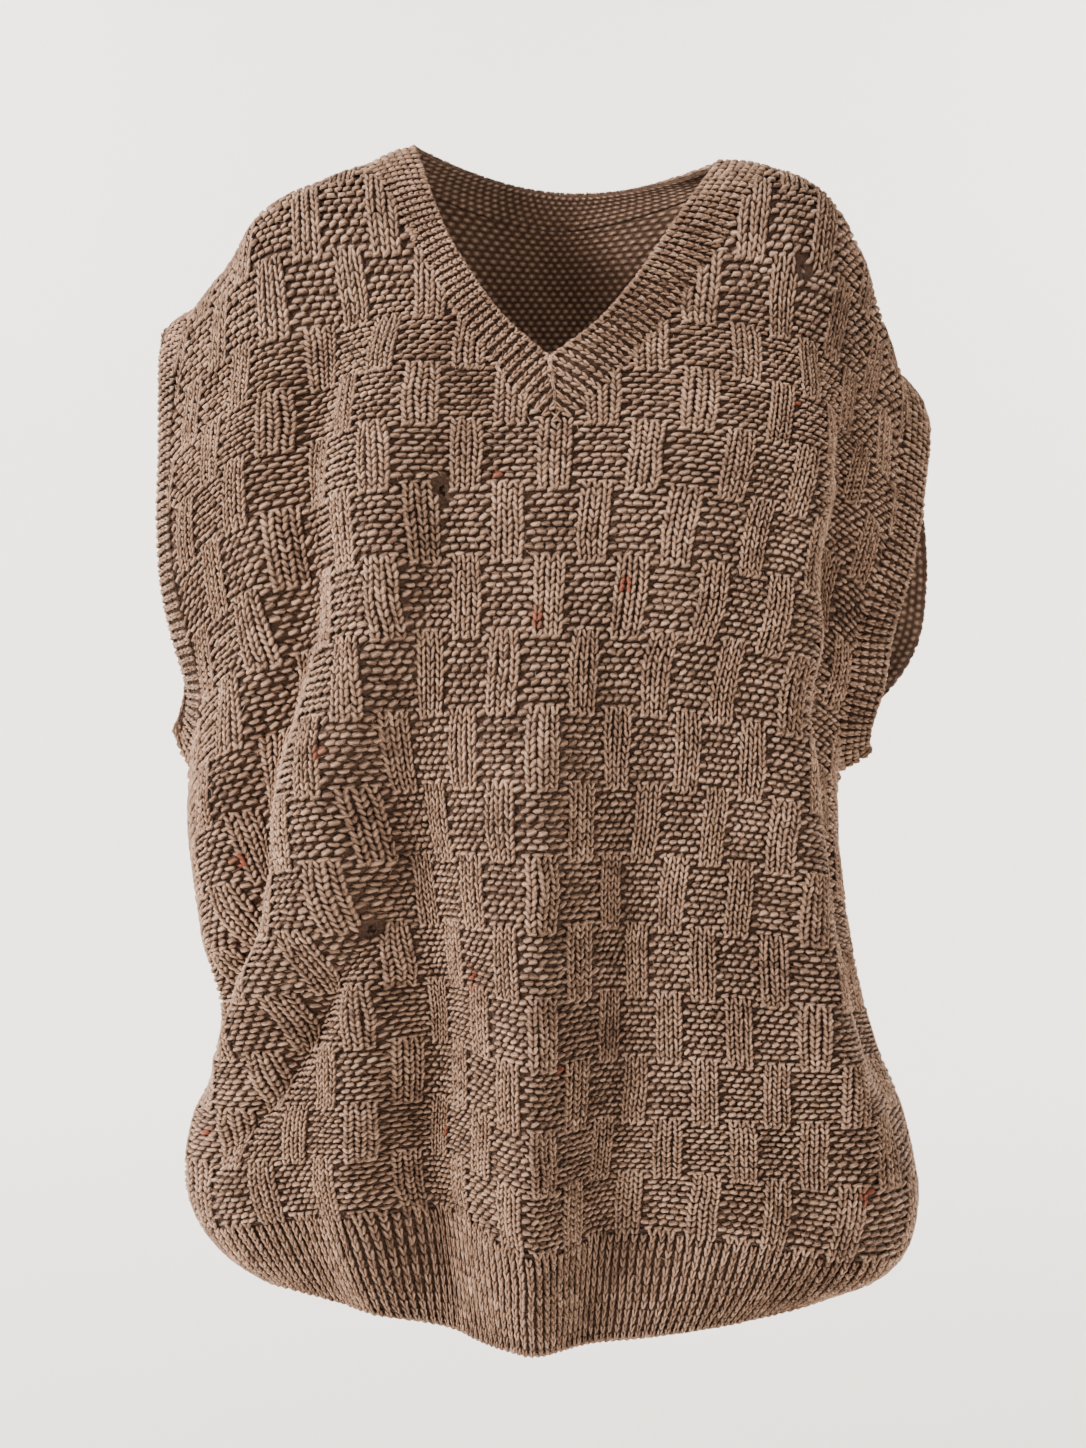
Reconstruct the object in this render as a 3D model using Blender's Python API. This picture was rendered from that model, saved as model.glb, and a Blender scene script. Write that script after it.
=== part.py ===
"""Knitted sweater vest, worn open: a chunky basket-weave pullover with a V neck and ribbed bands.

Every panel is first laid out flat, as it is knitted: a place on it is a stitch number, counted from
the centre line, and a row number, counted from the top of the hem rib. The surface functions then
carry that flat place onto the hanging garment. +X is the wearer's left, -Y the front, +Z up, and the
origin lies between the two neck points, where the shoulders hold the vest. In names, left and right
are those of someone who faces the vest, so left is at -X.
"""

import math

import bmesh
import bpy
import numpy as np

CM = 0.01

# ---- knitting gauge and flat pattern -------------------------------------------------------------
STITCH = 0.0060  # width of a stitch
ROW = 0.00411  # height of a row
SIDE_STITCH = 48  # side seam, in stitches from the centre line
UNDERARM_ROW = 86
ARMHOLE_STITCH_LOW = 42.0  # armhole edge just above the underarm curve
ARMHOLE_STITCH_TOP = 44.5
ARMHOLE_CURVE_ROWS = 9
UNDERARM_LINES = (0.0, 1.2, 8.7)  # grid lines that round the underarm, in rows above it
UNDERARM_EASE_ROWS = 26  # rows over which front and back part above the side seam
NECK_STITCH = 17.5  # neck corner of the shoulder
NECK_ROW = 166
SHOULDER_FALL_ROWS = 9  # how much lower the shoulder seam ends at the armhole
V_POINT_ROW = 120
V_EASE = 0.8
BACK_NECK_FALL_ROWS = 8
RIB_ROWS = 13  # depth of the hem rib

# ---- basket-weave repeat -------------------------------------------------------------------------
REPEAT_STITCHES = 8
STRIP_HALF = 1.5  # a raised strip is three stitches wide
COURSE_ROWS = 10
COURSE_CHAMFER = 0.7

# ---- grids: stitches first, then rows ------------------------------------------------------------
GRID_SNAP = (1.1, 1.5)  # a line this near the outline ends on it
PLAIN_INSET = (2.5, 3.5)  # between the outline and the plain inner grid
PLAIN_SNAP = (2.0, 4.0)
PLAIN_STEP = 4  # the inner grid's columns run down the gaps between the strips
PLAIN_ROWS_FRONT = [3.5, *range(10, 161, 10), 166]
PLAIN_ROWS_BACK = [3.5, 20, 40, 60, 80, *range(90, 161, 10), 166]
SHARP_DEG = 40

# Holes worn through the front, each one small cell between two strips' ends.
HOLES = [
    # stitch_from  stitch_to  row_from  row_to
    (-22.5, -21.5, 49.3, 50.7),
    (-10.5, -9.5, 109.3, 110.7),
    (21.5, 22.5, 149.3, 150.7),
]

# ---- thicknesses ---------------------------------------------------------------------------------
WALL = 0.0030
STRIP_RAISE = 0.0016
RIB_RAISE = 0.0010
SEAM_GAP = 0.0003
BAND_SEAM_GAP = 0.0005  # a little more where a band's edge curves

# ---- bands ---------------------------------------------------------------------------------------
ARMHOLE_BAND_WIDTH = 0.024
BAND_RIB_PITCH = 0.0050
BAND_CROWN = 0.0015
BAND_SQUARE_REACH = 3  # stations either side that set a band's run and its smoothing
BAND_SMOOTH_REACH = 5
ON_EDGE = 0.5  # a place this near a seam, in stitches or rows, lies on it

# ---- colours -------------------------------------------------------------------------------------
YARN = (0.305, 0.196, 0.147)
YARN_ROUGHNESS = 0.85

# ---- the hanging shape, in centimetres -----------------------------------------------------------
# Centre line of the front: row, then its place.
FRONT_CENTRE = [
    # row     x      y      z
    (-13, -0.2, -11.2, -72.4),
    (-6, -0.25, -11.4, -69.3),
    (0, -0.3, -11.7, -66.6),
    (6, -0.4, -12.4, -64.3),
    (16, -0.4, -12.8, -60.9),
    (36, -0.4, -12.8, -53.6),
    (56, -0.4, -12.7, -45.7),
    (76, -0.3, -12.7, -37.5),
    (96, 0.0, -12.9, -28.8),
    (114, 0.4, -12.5, -21.4),
    (130, 0.6, -10.6, -15.8),
    (146, 0.8, -7.4, -10.6),
    (158, 1.0, -3.6, -6.4),
    (166, 1.1, 0.3, -4.0),
]
BACK_CENTRE = [
    # row     x      y      z
    (-13, -0.3, 10.6, -71.2),
    (-6, -0.3, 10.9, -68.6),
    (0, -0.3, 11.2, -66.3),
    (6, -0.3, 12.0, -64.0),
    (20, -0.3, 12.3, -58.6),
    (50, -0.2, 11.6, -46.5),
    (80, 0.0, 10.7, -34.3),
    (110, 0.3, 10.8, -22.1),
    (130, 0.6, 10.3, -13.9),
    (146, 0.8, 9.5, -7.6),
    (158, 1.0, 8.2, -3.4),
    (166, 1.1, 6.6, -1.2),
]
# Side line at SIDE_STITCH. Below the underarm front and back share it; above, it runs on in the air
# past the armhole edges, apart by the armhole's opening.
LEFT_SIDE = [
    # row   x_front  y_front  x_back  y_back     z
    (-13, -18.0, -1.5, -18.0, -1.5, -69.3),
    (-6, -19.8, -2.2, -19.8, -2.2, -68.3),
    (0, -21.2, -2.6, -21.2, -2.6, -66.6),
    (6, -21.9, -3.0, -21.9, -3.0, -64.5),
    (16, -21.5, -3.2, -21.5, -3.2, -60.6),
    (26, -20.3, -3.2, -20.3, -3.2, -57.6),
    (36, -19.8, -3.0, -19.8, -3.0, -54.8),
    (56, -21.0, -2.8, -21.0, -2.8, -49.2),
    (76, -21.9, -2.6, -21.9, -2.6, -42.7),
    (86, -22.0, -2.6, -22.0, -2.6, -38.8),
    (98, -23.3, -4.6, -22.2, 2.0, -34.6),
    (114, -24.2, -5.4, -22.5, 5.0, -28.2),
    (130, -24.2, -4.4, -22.5, 4.6, -22.3),
    (146, -23.6, -2.6, -22.4, 3.2, -16.6),
    (158, -22.6, -0.4, -22.3, 1.0, -12.2),
    (166, -22.2, 0.3, -22.2, 0.3, -10.2),
]
RIGHT_SIDE = [
    # row   x_front  y_front  x_back  y_back     z
    (-13, 18.6, 0.0, 18.6, 0.0, -70.0),
    (-6, 20.8, 0.0, 20.8, 0.0, -69.4),
    (0, 22.2, 0.0, 22.2, 0.0, -67.9),
    (6, 22.7, 0.0, 22.7, 0.0, -65.3),
    (16, 22.0, 0.1, 22.0, 0.1, -61.0),
    (36, 20.0, 0.4, 20.0, 0.4, -55.6),
    (56, 18.6, 0.4, 18.6, 0.4, -49.6),
    (76, 17.9, 0.3, 17.9, 0.3, -42.9),
    (86, 18.2, 0.0, 18.2, 0.0, -39.2),
    (98, 18.9, -2.8, 22.8, 3.6, -35.2),
    (114, 21.2, -4.2, 24.1, 5.8, -29.6),
    (130, 22.4, -3.4, 23.8, 5.8, -24.6),
    (146, 22.3, -2.2, 22.9, 4.0, -19.2),
    (158, 21.9, 0.0, 22.0, 1.2, -15.0),
    (166, 21.8, 0.4, 21.8, 0.4, -12.6),
]
# Where the flat front turns into the side face: the soft vertical ridges, in stitches.
RIDGE = [
    # row  left  right
    (-13, 40.0, 40.0),
    (16, 39.0, 38.0),
    (36, 34.0, 35.0),
    (56, 31.0, 32.0),
    (76, 28.0, 29.0),
    (96, 26.0, 26.0),
    (130, 25.0, 24.0),
    (166, 27.0, 26.0),
]
BACK_RIDGE = 31.0
CROWN_DEG, SIDE_DEG, SEAM_DEG = 14.0, 58.0, 90.0
BACK_CROWN_DEG = 22.0
CROWN_POWER = 1.6
RIDGE_WIDTH = 11.0  # stitches over which a ridge turns
SECTION_POINTS = 97
CLOSING_ROWS = (66, 110)  # below them the side face runs square into the side seam
# How late a row line drops from the centre towards the side.
FALL_POWER = [
    # row  power
    (-13, 1.2),
    (0, 1.4),
    (20, 2.0),
    (45, 2.5),
    (166, 2.5),
]

# Shoulder seam, the line that rests on the shoulders.
SHOULDER = [
    # stitch  left_x  left_z  right_x  right_z
    (17.5, -11.3, -1.3, 13.7, -1.4),
    (23.0, -14.3, -2.4, 16.6, -2.6),
    (30.0, -17.5, -4.1, 18.9, -5.9),
    (37.0, -19.5, -7.2, 20.2, -9.9),
    (44.5, -22.0, -10.3, 21.6, -14.1),
]
SHOULDER_Y = 0.3
SHOULDER_BLEND_ROWS = 26
SHOULDER_ROUND = 0.5  # how far the cloth stands off a straight fall from the seam
SHOULDER_ROUND_ROWS = 6.0
SHOULDER_SLOPE_REACH = 6.0  # stitches either side that set the seam's slope

# Free edge of the neckband: share of the way from the V point to the shoulder, then both sides.
NECK_EDGE_FRONT = [
    # share  left_x  left_z  right_x  right_z     y
    (0.0, 0.05, -15.2, 0.05, -15.2, -11.3),
    (0.2, -2.5, -12.8, 2.9, -12.9, -10.5),
    (0.4, -4.3, -10.2, 4.9, -10.4, -8.9),
    (0.6, -6.0, -7.1, 6.8, -7.4, -6.8),
    (0.8, -7.3, -3.6, 8.9, -4.0, -3.9),
    (1.0, -8.4, 0.0, 10.7, -1.0, 0.3),
]
NECK_BACK_DEPTH = 6.4
NECK_BACK_POWER = 0.8
NECK_BACK_SAG = 0.9

# Largest folds: a soft ridge (+) or trough (-) that runs from one flat place to another.
FRONT_FOLDS = [
    # stitch_top  stitch_low  row_top  row_low  half_width  height
    (-0.5, -3.0, 98, -13, 5.5, 1.90),
    (0.0, -2.2, 90, -13, 2.0, 0.50),
    (-15.0, -17.5, 86, -13, 5.2, -1.70),
    (-23.0, -26.5, 68, -13, 3.6, 1.20),
    (-13.0, -43.0, 68, 8, 2.5, -1.20),
    (-12.5, -16.5, 152, 98, 4.2, 1.60),
    (-13.5, -26.0, 111, 56, 4.0, 1.80),
    (-19.0, -41.0, 69, 30, 3.8, 1.60),
    (-22.5, -26.5, 152, 98, 3.6, -2.30),
    (-23.5, -36.5, 111, 56, 3.7, -3.10),
    (-30.0, -50.0, 69, 30, 3.8, -3.10),
    (9.0, 8.5, 76, -13, 5.5, -1.20),
    (24.0, 37.5, 140, 14, 3.8, 0.80),
    (31.5, 43.0, 140, 22, 3.8, -1.00),
]
BACK_FOLDS = [
    # stitch_top  stitch_low  row_top  row_low  half_width  height
    (-12.0, -16.0, 92, -13, 5.0, 0.90),
    (-4.0, -7.0, 88, -13, 3.6, -0.60),
    (13.0, 16.0, 80, -13, 5.5, 0.70),
    (24.0, 27.0, 70, 0, 3.2, -0.40),
]
FOLD_FADE_ROWS = 26
SEAM_HOLD = 5.0  # stitches beside the side seam over which folds run out
FOLD_TURN = 1.1  # how far a fold at the side seam stands off sideways, in radians
# The folds take up cloth: how many stitches each place of the front slides sideways, at four rows.
SLIDE_ROWS = (0, 45, 80, 118)
SLIDE = [
    # stitch  row_0  row_45  row_80  row_118
    (-48, 0.0, 0.0, 0.0, 0.0),
    (-40, 3.5, 2.5, 0.5, 0.0),
    (-32, 4.0, 3.0, 1.8, 0.9),
    (-24, 4.0, 3.5, 2.5, 1.7),
    (-16, 3.5, 3.2, 2.0, 0.9),
    (-8, 1.5, 1.2, 0.5, 0.1),
    (0, 0.0, 0.0, 0.0, 0.0),
    (8, -2.0, 0.0, 0.2, 1.0),
    (16, -3.0, -1.5, 0.5, 2.5),
    (24, -3.0, -2.0, 0.0, 1.3),
    (32, -3.5, -1.5, 0.0, 0.5),
    (40, -3.0, -1.0, 0.0, 0.0),
    (48, 0.0, 0.0, 0.0, 0.0),
]
# The front's lower edge is drawn up unevenly: how much higher each stitch hangs at three rows.
DRAWN_ROWS = (-13, 0, 25, 60)
DRAWN_UP = [
    # stitch  hem  rib_top  row_25  row_60
    (-48, 0.0, 0.0, 0.0, 0.0),
    (-36, 0.8, 0.9, 0.4, 0.0),
    (-30, 0.8, 1.5, 0.8, 0.0),
    (-20, 0.7, 2.0, 1.3, 0.0),
    (-14, 0.4, 2.1, 1.4, 0.0),
    (-9, 0.1, 1.8, 1.2, 0.0),
    (-4, 0.0, 0.6, 0.4, 0.0),
    (0, 0.0, 0.0, 0.0, 0.0),
    (6, 0.1, 0.7, 0.2, 0.0),
    (12, 0.2, 1.1, 0.3, 0.0),
    (19, 0.2, 0.8, 0.2, 0.0),
    (25, 0.2, 0.4, 0.0, 0.0),
    (32, 0.3, -0.3, 0.0, 0.0),
    (41, 0.4, -0.4, 0.0, 0.0),
    (48, 0.0, 0.0, 0.0, 0.0),
]
# How far a band leans from the panel's own run towards the wearer's arm, by row of its panel.
BAND_LEAN = [
    # row  left_front  left_back  right_front  right_back
    (86, 0.15, 0.15, 0.40, 0.25),
    (95, 0.10, 0.20, 0.50, 0.25),
    (108, 0.30, 0.25, 0.30, 0.25),
    (125, 0.40, 0.30, 0.10, 0.20),
    (145, 0.30, 0.25, 0.15, 0.20),
    (157, 0.45, 0.45, 0.35, 0.35),
]
ARM_SLOPE = 0.5  # fall of the arm for each step outwards
# How far the left band's front turns back behind the panel's edge.
BAND_TURN = [
    # row  left_front
    (86, 0.1),
    (95, 0.6),
    (108, 1.2),
    (125, 1.3),
    (145, 0.9),
    (157, 0.0),
]

# ---- small helpers -------------------------------------------------------------------------------
def column(table, index):
    return np.array([row[index] for row in table], float)


def along(table, index, at):
    """A table's column as a smooth curve through its rows, read at the given places."""
    knots, values = column(table, 0), column(table, index)
    slopes = np.gradient(values, knots)
    at = np.clip(np.asarray(at, float), knots[0], knots[-1])
    i = np.clip(np.searchsorted(knots, at, side="right") - 1, 0, len(knots) - 2)
    span = knots[i + 1] - knots[i]
    t = (at - knots[i]) / span
    return (
        (1 + 2 * t) * (1 - t) ** 2 * values[i]
        + t * (1 - t) ** 2 * span * slopes[i]
        + t * t * (3 - 2 * t) * values[i + 1]
        + t * t * (t - 1) * span * slopes[i + 1]
    )


def ease(t):
    t = np.clip(t, 0.0, 1.0)
    return t * t * (3 - 2 * t)


def unit(v):
    return v / np.maximum(np.linalg.norm(v, axis=-1, keepdims=True), 1e-12)


# ---- flat pattern outline ------------------------------------------------------------------------
def armhole_stitch(row):
    """Edge of a panel at a row, in stitches from the centre line."""
    over = np.asarray(row, float) - UNDERARM_ROW
    left_to_turn = 1 - np.clip(over / ARMHOLE_CURVE_ROWS, 0, 1)
    curve = (SIDE_STITCH - ARMHOLE_STITCH_LOW) * (1 - np.sqrt(1 - left_to_turn**2))
    rise = over / (NECK_ROW - SHOULDER_FALL_ROWS - UNDERARM_ROW)
    widen = (ARMHOLE_STITCH_TOP - ARMHOLE_STITCH_LOW) * ease(rise)
    return np.where(over <= 0, SIDE_STITCH, ARMHOLE_STITCH_LOW + curve + widen)


def shoulder_row(stitch):
    past = (np.abs(stitch) - NECK_STITCH) / (ARMHOLE_STITCH_TOP - NECK_STITCH)
    return NECK_ROW - SHOULDER_FALL_ROWS * np.clip(past, 0, 1)


def front_top_row(stitch):
    share = np.clip(np.abs(stitch) / NECK_STITCH, 0, 1)
    v_row = V_POINT_ROW + (NECK_ROW - V_POINT_ROW) * share ** (1 / V_EASE)
    return np.where(np.abs(stitch) < NECK_STITCH, v_row, shoulder_row(stitch))


def back_top_row(stitch):
    share = np.clip(np.abs(stitch) / NECK_STITCH, 0, 1)
    scoop = NECK_ROW - BACK_NECK_FALL_ROWS * (1 - share**3)
    return np.where(np.abs(stitch) < NECK_STITCH, scoop, shoulder_row(stitch))


# ---- the hanging surface -------------------------------------------------------------------------
def headings(stitches, ridge, crown_deg, closing):
    """Direction of a row line seen from above, turning back at the ridge."""
    crown = crown_deg * np.clip(stitches / ridge, 0, 1) ** CROWN_POWER
    turn = (SIDE_DEG - crown_deg) * ease((stitches - ridge) / RIDGE_WIDTH + 0.5)
    past = np.clip((stitches - ridge) / (SIDE_STITCH - ridge), 0, 1)
    return np.radians(crown + turn + closing * (SEAM_DEG - SIDE_DEG) * past**2)


def half_section(row, stitch, centre, side, ridge, crown_deg):
    """Place on one row line, from its centre to its side, laid out at even stitches."""
    steps = np.linspace(0, SIDE_STITCH, SECTION_POINTS)
    closing = 1 - ease((row - CLOSING_ROWS[0]) / (CLOSING_ROWS[1] - CLOSING_ROWS[0]))
    angle = headings(steps[None, :], ridge[:, None], crown_deg, closing[:, None])
    run = np.cumsum((np.cos(angle[:, 1:]) + np.cos(angle[:, :-1])) / 2, axis=1)
    deep = np.cumsum((np.sin(angle[:, 1:]) + np.sin(angle[:, :-1])) / 2, axis=1)
    at = np.clip(stitch / SIDE_STITCH, 0, 1) * (len(steps) - 1)
    low = np.clip(at.astype(int), 0, len(steps) - 2)
    part = at - low
    pick = np.arange(len(row))
    run = np.concatenate([np.zeros((len(row), 1)), run], axis=1)
    deep = np.concatenate([np.zeros((len(row), 1)), deep], axis=1)
    run_at = run[pick, low] * (1 - part) + run[pick, low + 1] * part
    deep_at = deep[pick, low] * (1 - part) + deep[pick, low + 1] * part
    run_share, deep_share = run_at / run[:, -1], deep_at / deep[:, -1]
    x = centre[0] + (side[0] - centre[0]) * run_share
    y = centre[1] + (side[1] - centre[1]) * deep_share
    fall = (stitch / SIDE_STITCH) ** along(FALL_POWER, 1, row)
    z = centre[2] + (side[2] - centre[2]) * fall
    return np.stack([x, y, z], axis=-1)


def side_line(table, columns, row, back):
    """The side seam's line, one for both panels, which parts above the underarm."""
    front_line, back_line = (along(table, i, row) for i in columns)
    shared = (front_line + back_line) / 2
    own = back_line if back else front_line
    return shared + (own - shared) * ease((row - UNDERARM_ROW) / UNDERARM_EASE_ROWS)


def fold_height(folds, stitch, row):
    total = np.zeros_like(row)
    for stitch_top, stitch_low, row_top, row_low, half_width, height in folds:
        share = np.clip((row - row_low) / (row_top - row_low), 0, 1)
        middle = stitch_low + (stitch_top - stitch_low) * share
        fade = ease((row_top - row) / FOLD_FADE_ROWS)
        fade = fade * ease((row - row_low) / FOLD_FADE_ROWS + 0.5)
        total += height * fade * np.exp(-(((stitch - middle) / half_width) ** 2))
    return total * ease((SIDE_STITCH - np.abs(stitch)) / SEAM_HOLD)


def read_table(table, table_rows, stitch, row):
    """A table's value at a flat place: its columns belong to the given rows."""
    values = np.stack([along(table, i + 1, stitch) for i in range(len(table_rows))])
    at = np.interp(row, table_rows, range(len(table_rows)))
    low = np.clip(at.astype(int), 0, len(table_rows) - 2)
    part = ease(at - low)
    pick = np.arange(len(row))
    return values[low, pick] * (1 - part) + values[low + 1, pick] * part


def shoulder_line(stitch):
    """The shoulder seam on the side of the stitch's sign."""
    count = np.abs(stitch)
    left = stitch < 0
    x = np.where(left, along(SHOULDER, 1, count), along(SHOULDER, 3, count))
    z = np.where(left, along(SHOULDER, 2, count), along(SHOULDER, 4, count))
    return np.stack([x, np.full_like(x, SHOULDER_Y), z], axis=-1)


def draped(stitch, row, back):
    """The section lines and folds, before the top is laid onto the shoulder seam."""
    at = stitch if back else stitch + read_table(SLIDE, SLIDE_ROWS, stitch, row)
    centre_table = BACK_CENTRE if back else FRONT_CENTRE
    centre = [along(centre_table, i, row) for i in (1, 2, 3)]
    halves = []
    for table, ridge_col in ((LEFT_SIDE, 1), (RIGHT_SIDE, 2)):
        side = [side_line(table, pair, row, back) for pair in ((1, 3), (2, 4))]
        side.append(along(table, 5, row))
        ridge = np.full_like(row, BACK_RIDGE) if back else along(RIDGE, ridge_col, row)
        crown = BACK_CROWN_DEG if back else CROWN_DEG
        halves.append(half_section(row, np.abs(at), centre, side, ridge, crown))
    place = np.where((stitch < 0)[:, None], halves[0], halves[1])
    height = fold_height(BACK_FOLDS if back else FRONT_FOLDS, stitch, row)
    turn = np.clip(at / SIDE_STITCH, -1, 1) * FOLD_TURN
    stand_off = np.stack([np.sin(turn), -np.cos(turn), 0 * turn], axis=-1)
    if back:
        stand_off[:, 1] *= -1
    else:
        place[:, 2] += read_table(DRAWN_UP, DRAWN_ROWS, at, row)
    return place + stand_off * height[:, None]


def surface(stitch, row, back):
    """Place of a flat point on the hanging vest, in metres: the base of the knitting's outer face."""
    stitch, row = np.broadcast_arrays(np.asarray(stitch, float), np.asarray(row, float))
    shape = stitch.shape
    stitch, row = stitch.ravel(), row.ravel()
    place = draped(stitch, row, back)
    count = np.clip(np.abs(stitch), NECK_STITCH, ARMHOLE_STITCH_TOP)
    on_seam = np.where(stitch < 0, -count, count)
    seam_row = shoulder_row(on_seam)
    miss = shoulder_line(on_seam) - draped(on_seam, seam_row, back)
    near_seam = ease(np.abs(stitch) / NECK_STITCH)
    weight = near_seam * ease(1 - (seam_row - row) / SHOULDER_BLEND_ROWS)
    place = place + miss * weight[:, None]
    reach = SHOULDER_SLOPE_REACH
    slope = shoulder_line(on_seam + reach) - shoulder_line(on_seam - reach)
    upward = unit(np.stack([-slope[:, 2], 0 * row, slope[:, 0]], axis=-1))
    down = (seam_row - row) / SHOULDER_ROUND_ROWS
    bulge = SHOULDER_ROUND * near_seam * down * np.exp(1 - np.maximum(down, 0))
    place = place + upward * bulge[:, None]
    return (place * CM).reshape(shape + (3,))


def outward(stitch, row, back, step=0.25):
    """Unit normal of the surface, away from the wearer."""
    right = np.minimum(stitch + step, SIDE_STITCH)
    left = np.maximum(stitch - step, -SIDE_STITCH)
    across = surface(right, row, back) - surface(left, row, back)
    up = surface(stitch, row + step, back) - surface(stitch, row - step, back)
    return unit(np.cross(up, across) if back else np.cross(across, up))


def panel_normal(stitch, row, back):
    """Normal that front and back share along the shoulder and side seams."""
    own = outward(stitch, row, back)
    other = outward(stitch, row, not back)
    on_shoulder = (np.abs(stitch) >= NECK_STITCH) & (shoulder_row(stitch) - row < ON_EDGE)
    on_side = (np.abs(stitch) > SIDE_STITCH - ON_EDGE) & (row <= UNDERARM_ROW + ON_EDGE)
    shared = (on_shoulder | on_side)[..., None]
    return np.where(shared, unit(own + other), own)


# ---- relief and holes ----------------------------------------------------------------------------
def basket_relief(stitch, row):
    """Raised three-stitch strips, ten rows tall, each course shifted by half a repeat."""
    course = np.floor(row / COURSE_ROWS)
    shift = np.where(course % 2 == 0, REPEAT_STITCHES / 2, 0)
    off = np.mod(stitch + shift + REPEAT_STITCHES / 2, REPEAT_STITCHES) - REPEAT_STITCHES / 2
    return np.where(np.abs(off) <= STRIP_HALF + 0.01, STRIP_RAISE, 0.0)


def panel_columns():
    """Stitch numbers of a panel's grid lines: the centre and both edges of every strip."""
    lines = {0.0, float(SIDE_STITCH), float(-SIDE_STITCH)}
    for middle in range(-SIDE_STITCH, SIDE_STITCH + 1, REPEAT_STITCHES // 2):
        for edge in (middle - STRIP_HALF, middle + STRIP_HALF):
            if abs(edge) < SIDE_STITCH - 1:
                lines.add(edge)
    return np.array(sorted(lines))


def panel_rows():
    lines = {0.0, float(NECK_ROW), *(UNDERARM_ROW + line for line in UNDERARM_LINES)}
    for start in range(0, NECK_ROW, COURSE_ROWS):
        for line in (start + COURSE_CHAMFER, start + COURSE_ROWS - COURSE_CHAMFER):
            if abs(line - UNDERARM_ROW) > GRID_SNAP[1] and 1 < line < NECK_ROW - 1:
                lines.add(line)
    return np.array(sorted(lines))


def plain_lines(lines, gaps):
    """Lines of the inner grid: a hole's two edges take the place of the line that runs through it."""
    kept = {float(line) for line in lines if not any(low < line < high for low, high in gaps)}
    return np.array(sorted(kept | {edge for gap in gaps for edge in gap}))


# ---- solids from flat grids ----------------------------------------------------------------------
def trimmed_grid(columns, rows, top_row, snap, inset=(0.0, 0.0)):
    """Flat vertices and faces of a grid cut to the pattern's outline, or to a line inset from it.
    Lines that come near the outline end on it, so that no sliver is left."""
    points, index, ids = [], {}, np.zeros((len(rows), len(columns)), int)
    for r, row in enumerate(rows):
        edge = float(armhole_stitch(row)) - inset[0]
        for c, stitch in enumerate(columns):
            if abs(stitch) > edge - snap[0]:
                stitch = math.copysign(edge, stitch)
            top = float(top_row(stitch)) - inset[1]
            level = top if row > top - snap[1] else row
            level = max(level, rows[0])
            key = (round(stitch, 3), round(level, 3))
            if key not in index:
                index[key] = len(points)
                points.append((stitch, level))
            ids[r, c] = index[key]
    faces = []
    for r in range(len(rows) - 1):
        for c in range(len(columns) - 1):
            corners = [ids[r, c], ids[r, c + 1], ids[r + 1, c + 1], ids[r + 1, c]]
            face = [p for n, p in enumerate(corners) if p != corners[n - 1]]
            if len(set(face)) >= 3:
                faces.append(face)
    return np.array(points), faces


def border(faces):
    """The outline of a patch, as its vertex numbers in order."""
    sides = {(face[n - 1], a) for face in faces for n, a in enumerate(face)}
    after = {a: b for a, b in sides if (b, a) not in sides}
    start = min(after)
    loop, at = [start], after[start]
    while at != start:
        loop.append(at)
        at = after[at]
    return loop


def from_corner(loop, points, corner):
    """The loop turned round so that it starts at the point nearest a corner."""
    start = int(np.argmin(np.linalg.norm(points[loop] - np.array(corner), axis=1)))
    return loop[start:] + loop[:start]


def zip_loops(outer, inner, outer_points, inner_points):
    """Triangles between two closed outlines that run the same way, by the shorter diagonal."""
    faces, i, j = [], 0, 0
    while i < len(outer) or j < len(inner):
        i_next, j_next = (i + 1) % len(outer), (j + 1) % len(inner)
        here, there = i % len(outer), j % len(inner)
        step_outer = np.linalg.norm(outer_points[i_next] - inner_points[there])
        step_inner = np.linalg.norm(outer_points[here] - inner_points[j_next])
        if j == len(inner) or (i < len(outer) and step_outer <= step_inner):
            faces.append((outer[here], inner[there], outer[i_next]))
            i += 1
        else:
            faces.append((outer[here], inner[there], inner[j_next]))
            j += 1
    return faces


def hole_corners(flat, hole):
    """Vertex numbers of a grid at the four corners of a hole, in order round it."""
    left, right, low, high = hole
    corners = np.array([(left, low), (right, low), (right, high), (left, high)])
    return [int(np.argmin(np.linalg.norm(flat - corner, axis=1))) for corner in corners]


def without(faces, rims):
    """A grid's faces, less those that would fill the holes."""
    filled = [set(rim) for rim in rims]
    return [tuple(face) for face in faces if set(face) not in filled]


def hole_walls(outer_rim, inner_rim):
    """The four faces between a hole's outer and inner rim."""
    return [(outer_rim[n], outer_rim[n - 1], inner_rim[n - 1], inner_rim[n]) for n in range(4)]


def add_solid(name, points, faces, material):
    """One closed solid in the vest's collection."""
    mesh = bpy.data.meshes.new(name)
    mesh.from_pydata(points.tolist(), [], [tuple(int(p) for p in f) for f in faces])
    shell = bmesh.new()
    shell.from_mesh(mesh)
    bmesh.ops.triangulate(shell, faces=[f for f in shell.faces if len(f.verts) > 3])
    bmesh.ops.recalc_face_normals(shell, faces=shell.faces)
    shell.to_mesh(mesh)
    shell.free()
    mesh.materials.append(material)
    mesh.shade_smooth()
    mesh.set_sharp_from_angle(angle=math.radians(SHARP_DEG))
    made = bpy.data.objects.new(name, mesh)
    bpy.data.collections["knitted_vest"].objects.link(made)


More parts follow.
